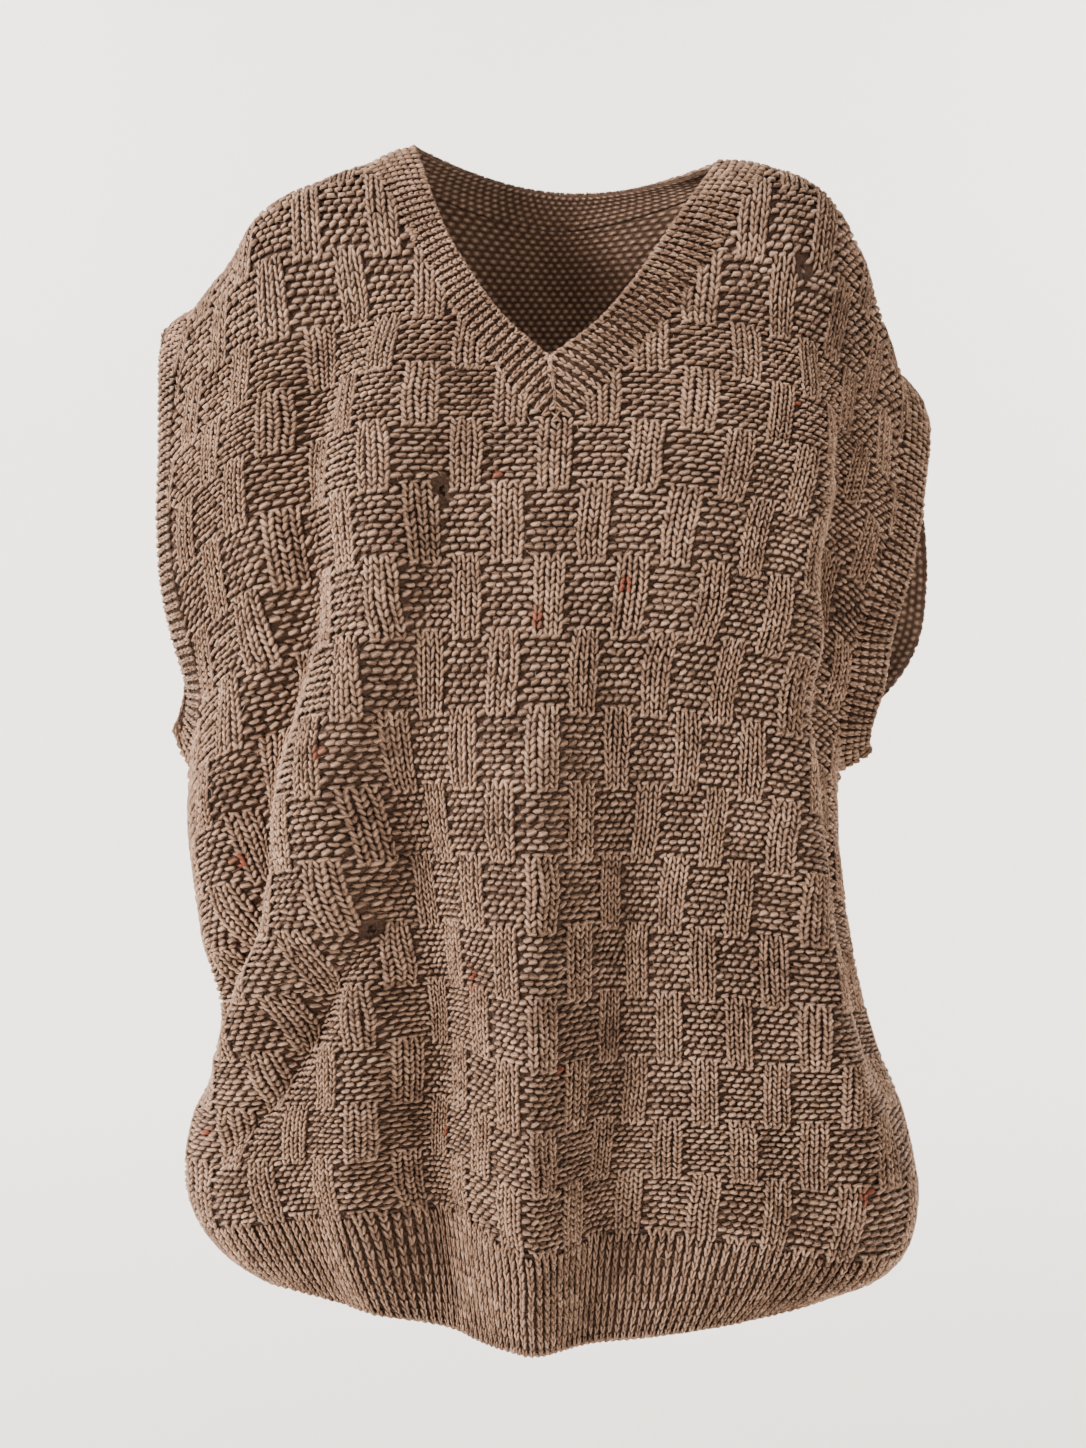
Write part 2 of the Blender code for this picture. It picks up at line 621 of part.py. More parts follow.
def panel_patch(top_row):
    """A panel's outer grid, flat, with its outline drawn in by half a seam gap."""
    flat, faces = trimmed_grid(panel_columns(), panel_rows(), top_row, GRID_SNAP)
    loop = from_corner(border(faces), flat, (-SIDE_STITCH, 0))
    edge = flat[loop]
    run = np.roll(edge, -1, axis=0) - np.roll(edge, 1, axis=0)
    inward = unit(np.stack([-run[:, 1] * ROW, run[:, 0] * STITCH], axis=-1))
    inward /= np.abs(inward).max(axis=1, keepdims=True)
    flat[loop] = edge + inward * SEAM_GAP / 2 / np.array([STITCH, ROW])
    return flat, faces, loop


def panel(name, top_row, back, material):
    """Front or back: a raised basket weave over a plain inside, with the front's holes cut through."""
    holes = [] if back else HOLES
    flat, faces, loop = panel_patch(top_row)
    normal = panel_normal(flat[:, 0], flat[:, 1], back)
    base = surface(flat[:, 0], flat[:, 1], back)
    relief = basket_relief(flat[:, 0], flat[:, 1])
    relief[loop] = 0
    rim_inner = base[loop] - normal[loop] * WALL

    between_strips = np.arange(PLAIN_STEP / 2 - SIDE_STITCH, SIDE_STITCH, PLAIN_STEP)
    plain_columns = plain_lines(between_strips, [hole[:2] for hole in holes])
    plain_rows = plain_lines(PLAIN_ROWS_BACK if back else PLAIN_ROWS_FRONT, [hole[2:] for hole in holes])
    plain, plain_faces = trimmed_grid(plain_columns, plain_rows, top_row, PLAIN_SNAP, PLAIN_INSET)
    plain_normal = panel_normal(plain[:, 0], plain[:, 1], back)
    inside = surface(plain[:, 0], plain[:, 1], back) - plain_normal * WALL
    plain_loop = from_corner(border(plain_faces), plain, (-SIDE_STITCH, plain_rows[0]))

    rim_id = len(flat) + np.arange(len(loop))
    plain_id = len(flat) + len(loop)
    outer_rims = [hole_corners(flat, hole) for hole in holes]
    plain_rims = [hole_corners(plain, hole) for hole in holes]
    solid_faces = without(faces, outer_rims)
    for n, point in enumerate(loop):
        after = (n + 1) % len(loop)
        solid_faces.append((point, rim_id[n], rim_id[after], loop[after]))
    for face in without(plain_faces, plain_rims):
        solid_faces.append(tuple(plain_id + p for p in reversed(face)))
    for outer_rim, plain_rim in zip(outer_rims, plain_rims):
        solid_faces += hole_walls(outer_rim, [plain_id + p for p in plain_rim])
    solid_faces += zip_loops(
        list(rim_id),
        [plain_id + p for p in plain_loop],
        flat[loop] * [STITCH, ROW],
        plain[plain_loop] * [STITCH, ROW],
    )
    points = np.vstack([base + normal * relief[:, None], rim_inner, inside])
    add_solid(name, points, solid_faces, material)


# ---- ribbed bands --------------------------------------------------------------------------------
def panel_edge(top_row, back, keep):
    """The part of a panel's outline that a test keeps: its flat points, places and normals."""
    flat, _, loop = panel_patch(top_row)
    edge = flat[loop]
    edge = edge[keep(edge[:, 0], edge[:, 1])]
    places = surface(edge[:, 0], edge[:, 1], back)
    return edge, np.hstack([places, panel_normal(edge[:, 0], edge[:, 1], back)])


def rib_stations(edge, pitch):
    """Two stations for each rib along a run of outline points, and which of them are those points.
    Ribs are counted afresh between neighbours, so that the band's edge follows the panel's."""
    stations, picks = [], []
    for n, span in enumerate(np.linalg.norm(np.diff(edge[:, :3], axis=0), axis=1)):
        picks.append(len(stations))
        halves = 2 * max(1, round(span / pitch))
        stations += [n + half / halves for half in range(halves)]
    return np.array(stations), picks


def read_at(edge, stations):
    """Places and normals at stations along the run."""
    count = np.arange(len(edge))
    read = np.stack([np.interp(stations, count, edge[:, i]) for i in range(6)], axis=-1)
    return read[:, :3], read[:, 3:]


def off_edge(edge, edge_normal, toward, reach=1):
    """Unit direction square to a closed edge and in its surface, on the side of `toward`."""
    heading = np.roll(edge, -reach, axis=0) - np.roll(edge, reach, axis=0)
    square = unit(np.cross(heading, edge_normal))
    return square * np.sign((square * toward).sum(axis=1, keepdims=True))


def own_normals(base, edge_normal):
    """Normals of a band's own face; at the seam it keeps the panel's."""
    along_it = np.roll(base, -1, axis=0) - np.roll(base, 1, axis=0)
    normal = unit(np.cross(along_it, np.gradient(base, axis=1)))
    outside = edge_normal[:, None, :]
    normal *= np.sign((normal * outside).sum(axis=-1, keepdims=True))
    normal[:, 0] = edge_normal
    return normal


def ribbed(name, base, normals, picks, closed, material, raise_first=False):
    """A ribbed band: base[s, t] are places along it (s) and across it (t). Every other one along
    it is raised, and the inside is plain and has only the picked ones."""
    count, depth = base.shape[:2]
    raised = np.where(np.arange(count) % 2 == (0 if raise_first else 1), RIB_RAISE, 0.0)
    outer = base + normals * raised[:, None, None]
    inner = (base - normals * WALL)[picks]
    first = count * depth

    def outer_id(s, t):
        return s % count * depth + t

    def inner_id(n, t):
        return first + n % len(picks) * depth + t

    faces = []
    for s in range(count if closed else count - 1):
        for t in range(depth - 1):
            faces.append([outer_id(s, t), outer_id(s + 1, t), outer_id(s + 1, t + 1), outer_id(s, t + 1)])
    for n in range(len(picks) if closed else len(picks) - 1):
        for t in range(depth - 1):
            faces.append([inner_id(n, t), inner_id(n, t + 1), inner_id(n + 1, t + 1), inner_id(n + 1, t)])
        start, end = picks[n], picks[n + 1] if n + 1 < len(picks) else count
        middle = (start + end) // 2
        for t in (0, depth - 1):
            for s in range(start, end):
                near = inner_id(n if s < middle else n + 1, t)
                faces.append([outer_id(s, t), outer_id(s + 1, t), near])
            faces.append([outer_id(middle, t), inner_id(n + 1, t), inner_id(n, t)])
    if not closed:
        for s, n in ((0, 0), (count - 1, len(picks) - 1)):
            for t in range(depth - 1):
                faces.append([outer_id(s, t), outer_id(s, t + 1), inner_id(n, t + 1), inner_id(n, t)])
    add_solid(name, np.vstack([outer.reshape(-1, 3), inner.reshape(-1, 3)]), faces, material)


def hem_rib(name, back, material):
    """The ribbed lower edge: one raised knit column for each stitch."""
    top_row = back_top_row if back else front_top_row
    flat, edge = panel_edge(top_row, back, lambda stitch, row: row < ON_EDGE)
    order = np.argsort(flat[:, 0])
    flat, edge = flat[order], edge[order]
    stations, picks = rib_stations(edge, STITCH)
    stations, picks = np.append(stations, len(edge) - 1.0), picks + [len(stations)]
    top, top_normal = read_at(edge, stations)
    stitches = np.interp(stations, np.arange(len(flat)), flat[:, 0])
    base, normals = [top - [0, 0, SEAM_GAP]], [top_normal]
    for row in (-RIB_ROWS / 2, -RIB_ROWS):
        base.append(surface(stitches, row, back))
        normals.append(panel_normal(stitches, np.full_like(stitches, row), back))
    ribbed(name, np.stack(base, axis=1), np.stack(normals, axis=1), picks, False, material)


def joined_ring(first, second):
    """Two runs of outline points that meet at both ends, as one ring with its start repeated."""
    at_start, at_end = (first[0] + second[-1]) / 2, (first[-1] + second[0]) / 2
    return np.vstack([at_start, first[1:-1], at_end, second[1:-1], at_start])


def smoothed(ring, reach):
    """A closed run of vectors, each averaged with its neighbours."""
    return sum(np.roll(ring, shift, axis=0) for shift in range(-reach, reach + 1)) / (2 * reach + 1)


def armhole_band(name, side, material):
    """Rib picked up round an armhole: side is -1 on the left of the view, +1 on the right."""

    def keep(stitch, row):
        return (stitch * side > armhole_stitch(row) - ON_EDGE) & (row > UNDERARM_ROW - ON_EDGE)

    runs = []
    for top_row, back in ((front_top_row, False), (back_top_row, True)):
        flat, edge = panel_edge(top_row, back, keep)
        order = np.argsort(flat[:, 1])
        at_row = flat[order][:, 1]
        lean = along(BAND_LEAN, (2 if back else 1) + (side + 1), at_row)
        turn = along(BAND_TURN, 1, at_row) * float(side < 0 and not back)
        runs.append(np.hstack([edge[order], lean[:, None], turn[:, None]]))
    ring = joined_ring(runs[0], runs[1][::-1])
    stations, picks = rib_stations(ring, BAND_RIB_PITCH)
    edge, edge_normal = read_at(ring, stations)
    lean, turn = (np.interp(stations, np.arange(len(ring)), ring[:, n])[:, None] for n in (6, 7))

    arm = unit(np.array([side, 0, -ARM_SLOPE]))
    toward = unit(edge.mean(axis=0) - edge) + arm / 2
    own = off_edge(edge, edge_normal, toward, BAND_SQUARE_REACH)
    heading = own * (1 - lean) + arm * lean + np.array([0, 1, 0]) * turn
    away = unit(smoothed(heading, BAND_SMOOTH_REACH)) * ARMHOLE_BAND_WIDTH
    seam = edge + off_edge(edge, edge_normal, toward) * BAND_SEAM_GAP
    base = np.stack([seam, edge + away / 2 + edge_normal * BAND_CROWN, edge + away], axis=1)
    ribbed(name, base, own_normals(base, edge_normal), picks, True, material)


def neck_edge_front(share):
    """Free edge of the neckband on the front; share runs from -1 (left) through the V to 1."""
    count = np.abs(share)
    x = np.where(share < 0, along(NECK_EDGE_FRONT, 1, count), along(NECK_EDGE_FRONT, 3, count))
    z = np.where(share < 0, along(NECK_EDGE_FRONT, 2, count), along(NECK_EDGE_FRONT, 4, count))
    return np.stack([x, along(NECK_EDGE_FRONT, 5, count), z], axis=-1) * CM


def neck_edge_back(share):
    """Free edge across the back of the neck, from the right shoulder (0) to the left (1)."""
    right, left = neck_edge_front(np.array([1.0, -1.0]))
    edge = right + (left - right) * share[:, None]
    round_back = np.sin(np.pi * share)
    edge[:, 1] += NECK_BACK_DEPTH * CM * round_back**NECK_BACK_POWER
    edge[:, 2] -= NECK_BACK_SAG * CM * round_back
    return edge


def neckband(name, material):
    """Rib picked up round the V and the back neck, with a mitre at the centre front."""

    def keep(stitch, row):
        return (np.abs(stitch) < NECK_STITCH + ON_EDGE) & (row > V_POINT_ROW - 1)

    runs = []
    for top_row, back in ((front_top_row, False), (back_top_row, True)):
        flat, edge = panel_edge(top_row, back, keep)
        order = np.argsort(flat[:, 0])
        runs.append(edge[order])
        if not back:
            v_point = int(np.argmin(np.abs(flat[order][:, 0])))
    ring = joined_ring(runs[0], runs[1][::-1])
    stations, picks = rib_stations(ring, BAND_RIB_PITCH)
    edge, edge_normal = read_at(ring, stations)

    steps = np.linalg.norm(np.diff(ring[:, :3], axis=0), axis=1)
    run = np.interp(stations, np.arange(len(ring)), np.concatenate([[0], np.cumsum(steps)]))
    corners = [0, v_point, len(runs[0]) - 1, len(ring) - 1]
    marks = np.concatenate([[0], np.cumsum(steps)])[corners]
    share = np.interp(run, marks, [-1.0, 0.0, 1.0, 2.0])
    on_front = (share <= 1)[:, None]
    front_edge = neck_edge_front(np.clip(share, -1, 1))
    free = np.where(on_front, front_edge, neck_edge_back(np.clip(share - 1, 0, 1)))

    middle = (edge + free) / 2 + edge_normal * BAND_CROWN
    seam = edge + off_edge(edge, edge_normal, free - edge) * BAND_SEAM_GAP
    base = np.stack([seam, middle, free], axis=1)
    ribbed(name, base, own_normals(base, edge_normal), picks, True, material, raise_first=True)


# ---- the vest ------------------------------------------------------------------------------------
def yarn_material():
    yarn = bpy.data.materials.new("yarn")
    yarn.use_nodes = True
    shader = yarn.node_tree.nodes["Principled BSDF"]
    shader.inputs["Base Color"].default_value = (*YARN, 1)
    shader.inputs["Roughness"].default_value = YARN_ROUGHNESS
    shader.inputs["Metallic"].default_value = 0
    return yarn


def build():
    for thing in list(bpy.data.objects):
        bpy.data.objects.remove(thing)
    vest = bpy.data.collections.new("knitted_vest")
    bpy.context.scene.collection.children.link(vest)
    yarn = yarn_material()
    panel("front", front_top_row, False, yarn)
    panel("back", back_top_row, True, yarn)
    hem_rib("hem_rib_front", False, yarn)
    hem_rib("hem_rib_back", True, yarn)
    neckband("neckband", yarn)
    armhole_band("armhole_band_left", -1, yarn)
    armhole_band("armhole_band_right", 1, yarn)


build()
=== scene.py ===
"""A hand-knitted vest, dressed stitch by stitch.

Each panel is laid out flat as it is knitted, in stitches from the centre line and rows from the top
of the hem rib, and then carried onto the hanging cloth. A thin shell is the cloth itself; on it lie
the yarn's own shapes: the two legs of every knit stitch, the bumps of every ridge row, the loops
between the ridges, the columns of the ribs, the cast-on and cast-off edges and a little loose fibre.
Left and right are those of someone who faces the vest, so left is at -X, and -Y is the front.
"""

import math

import bpy
import numpy as np
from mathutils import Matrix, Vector


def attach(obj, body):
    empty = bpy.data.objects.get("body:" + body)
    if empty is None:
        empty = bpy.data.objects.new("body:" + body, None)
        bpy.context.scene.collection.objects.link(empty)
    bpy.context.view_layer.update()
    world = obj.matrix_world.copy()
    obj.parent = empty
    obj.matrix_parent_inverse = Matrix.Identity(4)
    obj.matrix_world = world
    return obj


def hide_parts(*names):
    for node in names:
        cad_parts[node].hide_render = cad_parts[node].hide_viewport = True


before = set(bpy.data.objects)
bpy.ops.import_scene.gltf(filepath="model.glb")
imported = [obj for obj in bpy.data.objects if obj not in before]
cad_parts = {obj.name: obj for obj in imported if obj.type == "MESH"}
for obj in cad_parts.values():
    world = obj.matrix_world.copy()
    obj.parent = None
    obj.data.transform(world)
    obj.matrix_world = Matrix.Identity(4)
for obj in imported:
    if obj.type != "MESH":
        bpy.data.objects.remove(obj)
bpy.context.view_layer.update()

CM = 0.01
MM = 0.001

# ---- knitting gauge and flat pattern -------------------------------------------------------------
STITCH = 0.0060  # width of a stitch
ROW = 0.00411  # height of a row
SIDE_STITCH = 48  # side seam, in stitches from the centre line
UNDERARM_ROW = 86
ARMHOLE_STITCH_LOW = 42.0  # armhole edge just above the underarm curve
ARMHOLE_STITCH_TOP = 44.5
ARMHOLE_CURVE_ROWS = 9
UNDERARM_EASE_ROWS = 26  # rows over which front and back part above the side seam
NECK_STITCH = 17.5  # neck corner of the shoulder
NECK_ROW = 166
SHOULDER_FALL_ROWS = 9  # how much lower the shoulder seam ends at the armhole
V_POINT_ROW = 120
V_EASE = 0.8
BACK_NECK_FALL_ROWS = 8
BACK_NECK_POWER = 3
RIB_ROWS = 13  # depth of the hem rib

# ---- basket-weave repeat -------------------------------------------------------------------------
REPEAT_STITCHES = 8
STRIP_HALF = 1.5  # a raised strip is three stitches wide
COURSE_ROWS = 10
RIDGE_ROWS = (1, 3, 5, 7, 9)  # rows of a course that form ridges

# ---- thicknesses, bands and edges ----------------------------------------------------------------
NECKBAND_WIDTH, ARMHOLE_BAND_WIDTH = 0.032, 0.024
NECKBAND_ROWS, ARMHOLE_ROWS = 7, 5
NECK_RIBS = (42, 42, 44)  # left front, right front, back neck
ARMHOLE_RIBS = (54, 54)  # front, back
BAND_CROWN = 0.0015  # how far the middle of a band stands off a straight run
SEAM_TUCK = 0.05  # how far a band reaches under its panel, as a share of its width
MITRE_SHARE = 0.13  # of the V's side, over which the ribs stop at the mitre
MITRE_POWER = 3  # how soon the ribs run square to the seam again, away from the mitre
SHORTEST_RIB = 0.03
MITRE_LIFT = 1.4 * MM  # how proud the column on the mitre stands
SHELL_SINK = 0.5 * MM  # how far a shell lies under the base of the knitting
SHELL_WALL = 1.9 * MM

# ---- yarn colours, linear ------------------------------------------------------------------------
LIGHT = (0.54, 0.355, 0.255, 1)
MIDDLE = (0.215, 0.127, 0.084, 1)
DARK = (0.044, 0.021, 0.013, 1)
RUST = (0.19, 0.028, 0.010, 1)
YARN_TWIST_DEG = 24.0
YARN_STREAK = (2.0, 0.45, 2.0)  # how finely the streaks change across and along the yarn
YARN_APART = 400  # millimetres of streaks from which each length of yarn takes its own stretch
# Lightness of the yarn: where it starts, and how much each cause adds. The shade holds the yarn's own tone
# and also painted shade and light.
TONE_START = -1.30
TONE_WEIGHTS = dict(shade=0.95, streaks=1.6, blotches=0.4, fibres=0.6)
RUST_TAKEN = (0.35, 0.55)  # how light a streak has to be for the rust to start and to cover it
# How finely the yarn changes: cells of the noise, its detail and its roughness.
STREAKS, FIBRES, BLOTCHES = (1.0, 3.0, 0.65), (1300.0, 2.0, 0.6), (22.0, 2.0, 0.5)
ROUGHNESS = (0.82, 0.98)
RELIEF_DEPTH = 0.5 * MM
YARN_RELIEF, BACKING_RELIEF, FIBRE_RELIEF, PURL_RELIEF = 0.6, 0.9, 0.5, 3.0
# Height of a purl bump across the stitch, and its lightness, painted light on its top and painted shade
# low between bumps: how much is added and to what.
PURL_ROUND, PURL_PAINTED_SHADE = (0.4, 0.6), (0.9, -0.15)

# ---- studio --------------------------------------------------------------------------------------
IMAGE_HEIGHT_PX = 1448
CAMERA_FOCAL_PX = 2150
CAMERA_PLACE = (-0.0034, -1.35, -0.363)
FLOOR_Z = -1.15
FLOOR_RADIUS = 5.0
WALL_HEIGHT = 5.0
COVE_RADIUS = 1.6
FLOOR_COLOUR = (0.90, 0.88, 0.85)
PAPER_UNEVEN, PAPER_SHADED = (1.5, 2.0, 0.5), 0.97
LIGHTS = [
    # name  place  target  size  watts  colour
    ("key", (-2.9, -1.7, 1.2), (0, 0, -0.35), 1.0, 315, (1.0, 0.965, 0.92)),
    ("fill", (2.2, -1.6, 0.2), (0, 0, -0.4), 2.0, 8, (0.95, 0.97, 1.0)),
    ("wall_left", (-2.6, 2.2, 2.6), (-2.2, 5.0, -0.6), 1.5, 262, (1.0, 0.97, 0.92)),
    ("wall_right", (2.6, 2.2, 2.6), (2.2, 5.0, -0.6), 1.5, 262, (1.0, 0.97, 0.92)),
]
WORLD_COLOUR, WORLD_STRENGTH = (1.0, 0.975, 0.935), 0.31

# ---- the hanging shape, in centimetres -----------------------------------------------------------
# Centre line of the front: row, then its place.
FRONT_CENTRE = [
    # row     x      y      z
    (-13, -0.2, -11.2, -72.4),
    (-6, -0.25, -11.4, -69.3),
    (0, -0.3, -11.7, -66.6),
    (6, -0.4, -12.4, -64.3),
    (16, -0.4, -12.8, -60.9),
    (36, -0.4, -12.8, -53.6),
    (56, -0.4, -12.7, -45.7),
    (76, -0.3, -12.7, -37.5),
    (96, 0.0, -12.9, -28.8),
    (114, 0.4, -12.5, -21.4),
    (130, 0.6, -10.6, -15.8),
    (146, 0.8, -7.4, -10.6),
    (158, 1.0, -3.6, -6.4),
    (166, 1.1, 0.3, -4.0),
]
BACK_CENTRE = [
    # row     x      y      z
    (-13, -0.3, 10.6, -71.2),
    (-6, -0.3, 10.9, -68.6),
    (0, -0.3, 11.2, -66.3),
    (6, -0.3, 12.0, -64.0),
    (20, -0.3, 12.3, -58.6),
    (50, -0.2, 11.6, -46.5),
    (80, 0.0, 10.7, -34.3),
    (110, 0.3, 10.8, -22.1),
    (130, 0.6, 10.3, -13.9),
    (146, 0.8, 9.5, -7.6),
    (158, 1.0, 8.2, -3.4),
    (166, 1.1, 6.6, -1.2),
]
# Side line at SIDE_STITCH. Below the underarm front and back share it; above, it runs on in the air
# past the armhole edges, apart by the armhole's opening.
LEFT_SIDE = [
    # row   x_front  y_front  x_back  y_back     z
    (-13, -18.0, -1.5, -18.0, -1.5, -69.3),
    (-6, -19.8, -2.2, -19.8, -2.2, -68.3),
    (0, -21.2, -2.6, -21.2, -2.6, -66.6),
    (6, -21.9, -3.0, -21.9, -3.0, -64.5),
    (16, -21.5, -3.2, -21.5, -3.2, -60.6),
    (26, -20.3, -3.2, -20.3, -3.2, -57.6),
    (36, -19.8, -3.0, -19.8, -3.0, -54.8),
    (56, -21.0, -2.8, -21.0, -2.8, -49.2),
    (76, -21.9, -2.6, -21.9, -2.6, -42.7),
    (86, -22.0, -2.6, -22.0, -2.6, -38.8),
    (98, -23.3, -4.6, -22.2, 2.0, -34.6),
    (114, -24.2, -5.4, -22.5, 5.0, -28.2),
    (130, -24.2, -4.4, -22.5, 4.6, -22.3),
    (146, -23.6, -2.6, -22.4, 3.2, -16.6),
    (158, -22.6, -0.4, -22.3, 1.0, -12.2),
    (166, -22.2, 0.3, -22.2, 0.3, -10.2),
]
RIGHT_SIDE = [
    # row   x_front  y_front  x_back  y_back     z
    (-13, 18.6, 0.0, 18.6, 0.0, -70.0),
    (-6, 20.8, 0.0, 20.8, 0.0, -69.4),
    (0, 22.2, 0.0, 22.2, 0.0, -67.9),
    (6, 22.7, 0.0, 22.7, 0.0, -65.3),
    (16, 22.0, 0.1, 22.0, 0.1, -61.0),
    (36, 20.0, 0.4, 20.0, 0.4, -55.6),
    (56, 18.6, 0.4, 18.6, 0.4, -49.6),
    (76, 17.9, 0.3, 17.9, 0.3, -42.9),
    (86, 18.2, 0.0, 18.2, 0.0, -39.2),
    (98, 18.9, -2.8, 22.8, 3.6, -35.2),
    (114, 21.2, -4.2, 24.1, 5.8, -29.6),
    (130, 22.4, -3.4, 23.8, 5.8, -24.6),
    (146, 22.3, -2.2, 22.9, 4.0, -19.2),
    (158, 21.9, 0.0, 22.0, 1.2, -15.0),
    (166, 21.8, 0.4, 21.8, 0.4, -12.6),
]
# Where the flat front turns into the side face: the soft vertical ridges, in stitches.
RIDGE = [
    # row  left  right
    (-13, 40.0, 40.0),
    (16, 39.0, 38.0),
    (36, 34.0, 35.0),
    (56, 31.0, 32.0),
    (76, 28.0, 29.0),
    (96, 26.0, 26.0),
    (130, 25.0, 24.0),
    (166, 27.0, 26.0),
]
BACK_RIDGE = 31.0
CROWN_DEG, SIDE_DEG, SEAM_DEG = 14.0, 58.0, 90.0
BACK_CROWN_DEG = 22.0
CROWN_POWER = 1.6
RIDGE_WIDTH = 11.0  # stitches over which a ridge turns
SECTION_POINTS = 97
CLOSING_ROWS = (66, 110)  # below them the side face runs square into the side seam
# How late a row line drops from the centre towards the side.
FALL_POWER = [
    # row  power
    (-13, 1.2),
    (0, 1.4),
    (20, 2.0),
    (45, 2.5),
    (166, 2.5),
]

# Shoulder seam, the line that rests on the shoulders.
SHOULDER = [
    # stitch  left_x  left_z  right_x  right_z
    (17.5, -11.3, -1.3, 13.7, -1.4),
    (23.0, -14.3, -2.4, 16.6, -2.6),
    (30.0, -17.5, -4.1, 18.9, -5.9),
    (37.0, -19.5, -7.2, 20.2, -9.9),
    (44.5, -22.0, -10.3, 21.6, -14.1),
]
SHOULDER_Y = 0.3
SHOULDER_BLEND_ROWS = 26
SHOULDER_ROUND = 0.5  # how far the cloth stands off a straight fall from the seam
SHOULDER_ROUND_ROWS = 6.0
SHOULDER_SLOPE_REACH = 6.0  # stitches either side that set the seam's slope

# Free edge of the neckband: share of the way from the V point to the shoulder, then both sides.
NECK_EDGE_FRONT = [
    # share  left_x  left_z  right_x  right_z     y
    (0.0, 0.05, -15.2, 0.05, -15.2, -11.3),
    (0.2, -2.5, -12.8, 2.9, -12.9, -10.5),
    (0.4, -4.3, -10.2, 4.9, -10.4, -8.9),
    (0.6, -6.0, -7.1, 6.8, -7.4, -6.8),
    (0.8, -7.3, -3.6, 8.9, -4.0, -3.9),
    (1.0, -8.4, 0.0, 10.7, -1.0, 0.3),
]
NECK_BACK_DEPTH = 6.4
NECK_BACK_POWER = 0.8
NECK_BACK_SAG = 0.9

# Largest folds: a soft ridge (+) or trough (-) that runs from one flat place to another.
FRONT_FOLDS = [
    # stitch_top  stitch_low  row_top  row_low  half_width  height
    (-0.5, -3.0, 98, -13, 5.5, 1.90),
    (0.0, -2.2, 90, -13, 2.0, 0.50),
    (-15.0, -17.5, 86, -13, 5.2, -1.70),
    (-23.0, -26.5, 68, -13, 3.6, 1.20),
    (-13.0, -43.0, 68, 8, 2.5, -1.20),
    (-12.5, -16.5, 152, 98, 4.2, 1.60),
    (-13.5, -26.0, 111, 56, 4.0, 1.80),
    (-19.0, -41.0, 69, 30, 3.8, 1.60),
    (-22.5, -26.5, 152, 98, 3.6, -2.30),
    (-23.5, -36.5, 111, 56, 3.7, -3.10),
    (-30.0, -50.0, 69, 30, 3.8, -3.10),
    (9.0, 8.5, 76, -13, 5.5, -1.20),
    (24.0, 37.5, 140, 14, 3.8, 0.80),
    (31.5, 43.0, 140, 22, 3.8, -1.00),
]
BACK_FOLDS = [
    # stitch_top  stitch_low  row_top  row_low  half_width  height
    (-12.0, -16.0, 92, -13, 5.0, 0.90),
    (-4.0, -7.0, 88, -13, 3.6, -0.60),
    (13.0, 16.0, 80, -13, 5.5, 0.70),
    (24.0, 27.0, 70, 0, 3.2, -0.40),
]
FOLD_FADE_ROWS = 26
SEAM_HOLD = 5.0  # stitches beside the side seam over which folds run out
FOLD_TURN = 1.1  # how far a fold at the side seam stands off sideways, in radians
# The folds take up cloth: how many stitches each place of the front slides sideways, at four rows.
SLIDE_ROWS = (0, 45, 80, 118)
SLIDE = [
    # stitch  row_0  row_45  row_80  row_118
    (-48, 0.0, 0.0, 0.0, 0.0),
    (-40, 3.5, 2.5, 0.5, 0.0),
    (-32, 4.0, 3.0, 1.8, 0.9),
    (-24, 4.0, 3.5, 2.5, 1.7),
    (-16, 3.5, 3.2, 2.0, 0.9),
    (-8, 1.5, 1.2, 0.5, 0.1),
    (0, 0.0, 0.0, 0.0, 0.0),
    (8, -2.0, 0.0, 0.2, 1.0),
    (16, -3.0, -1.5, 0.5, 2.5),
    (24, -3.0, -2.0, 0.0, 1.3),
    (32, -3.5, -1.5, 0.0, 0.5),
    (40, -3.0, -1.0, 0.0, 0.0),
    (48, 0.0, 0.0, 0.0, 0.0),
]
# The front's lower edge is drawn up unevenly: how much higher each stitch hangs at three rows.
DRAWN_ROWS = (-13, 0, 25, 60)
DRAWN_UP = [
    # stitch  hem  rib_top  row_25  row_60
    (-48, 0.0, 0.0, 0.0, 0.0),
    (-36, 0.8, 0.9, 0.4, 0.0),
    (-30, 0.8, 1.5, 0.8, 0.0),
    (-20, 0.7, 2.0, 1.3, 0.0),
    (-14, 0.4, 2.1, 1.4, 0.0),
    (-9, 0.1, 1.8, 1.2, 0.0),
    (-4, 0.0, 0.6, 0.4, 0.0),
    (0, 0.0, 0.0, 0.0, 0.0),
    (6, 0.1, 0.7, 0.2, 0.0),
    (12, 0.2, 1.1, 0.3, 0.0),
    (19, 0.2, 0.8, 0.2, 0.0),
    (25, 0.2, 0.4, 0.0, 0.0),
    (32, 0.3, -0.3, 0.0, 0.0),
    (41, 0.4, -0.4, 0.0, 0.0),
    (48, 0.0, 0.0, 0.0, 0.0),
]
# How far a band leans from the panel's own run towards the wearer's arm, by row of its panel, and
# how far the left band's front turns back behind the panel's edge.
BAND_LEAN = [
    # row  left_front  left_back  right_front  right_back  turned_back
    (86, 0.15, 0.15, 0.40, 0.25, 0.1),
    (95, 0.10, 0.20, 0.50, 0.25, 0.6),
    (108, 0.30, 0.25, 0.30, 0.25, 1.2),
    (125, 0.40, 0.30, 0.10, 0.20, 1.3),
    (145, 0.30, 0.25, 0.15, 0.20, 0.9),
    (157, 0.45, 0.45, 0.35, 0.35, 0.0),
]
ARM_SLOPE = 0.5  # fall of the arm for each step outwards

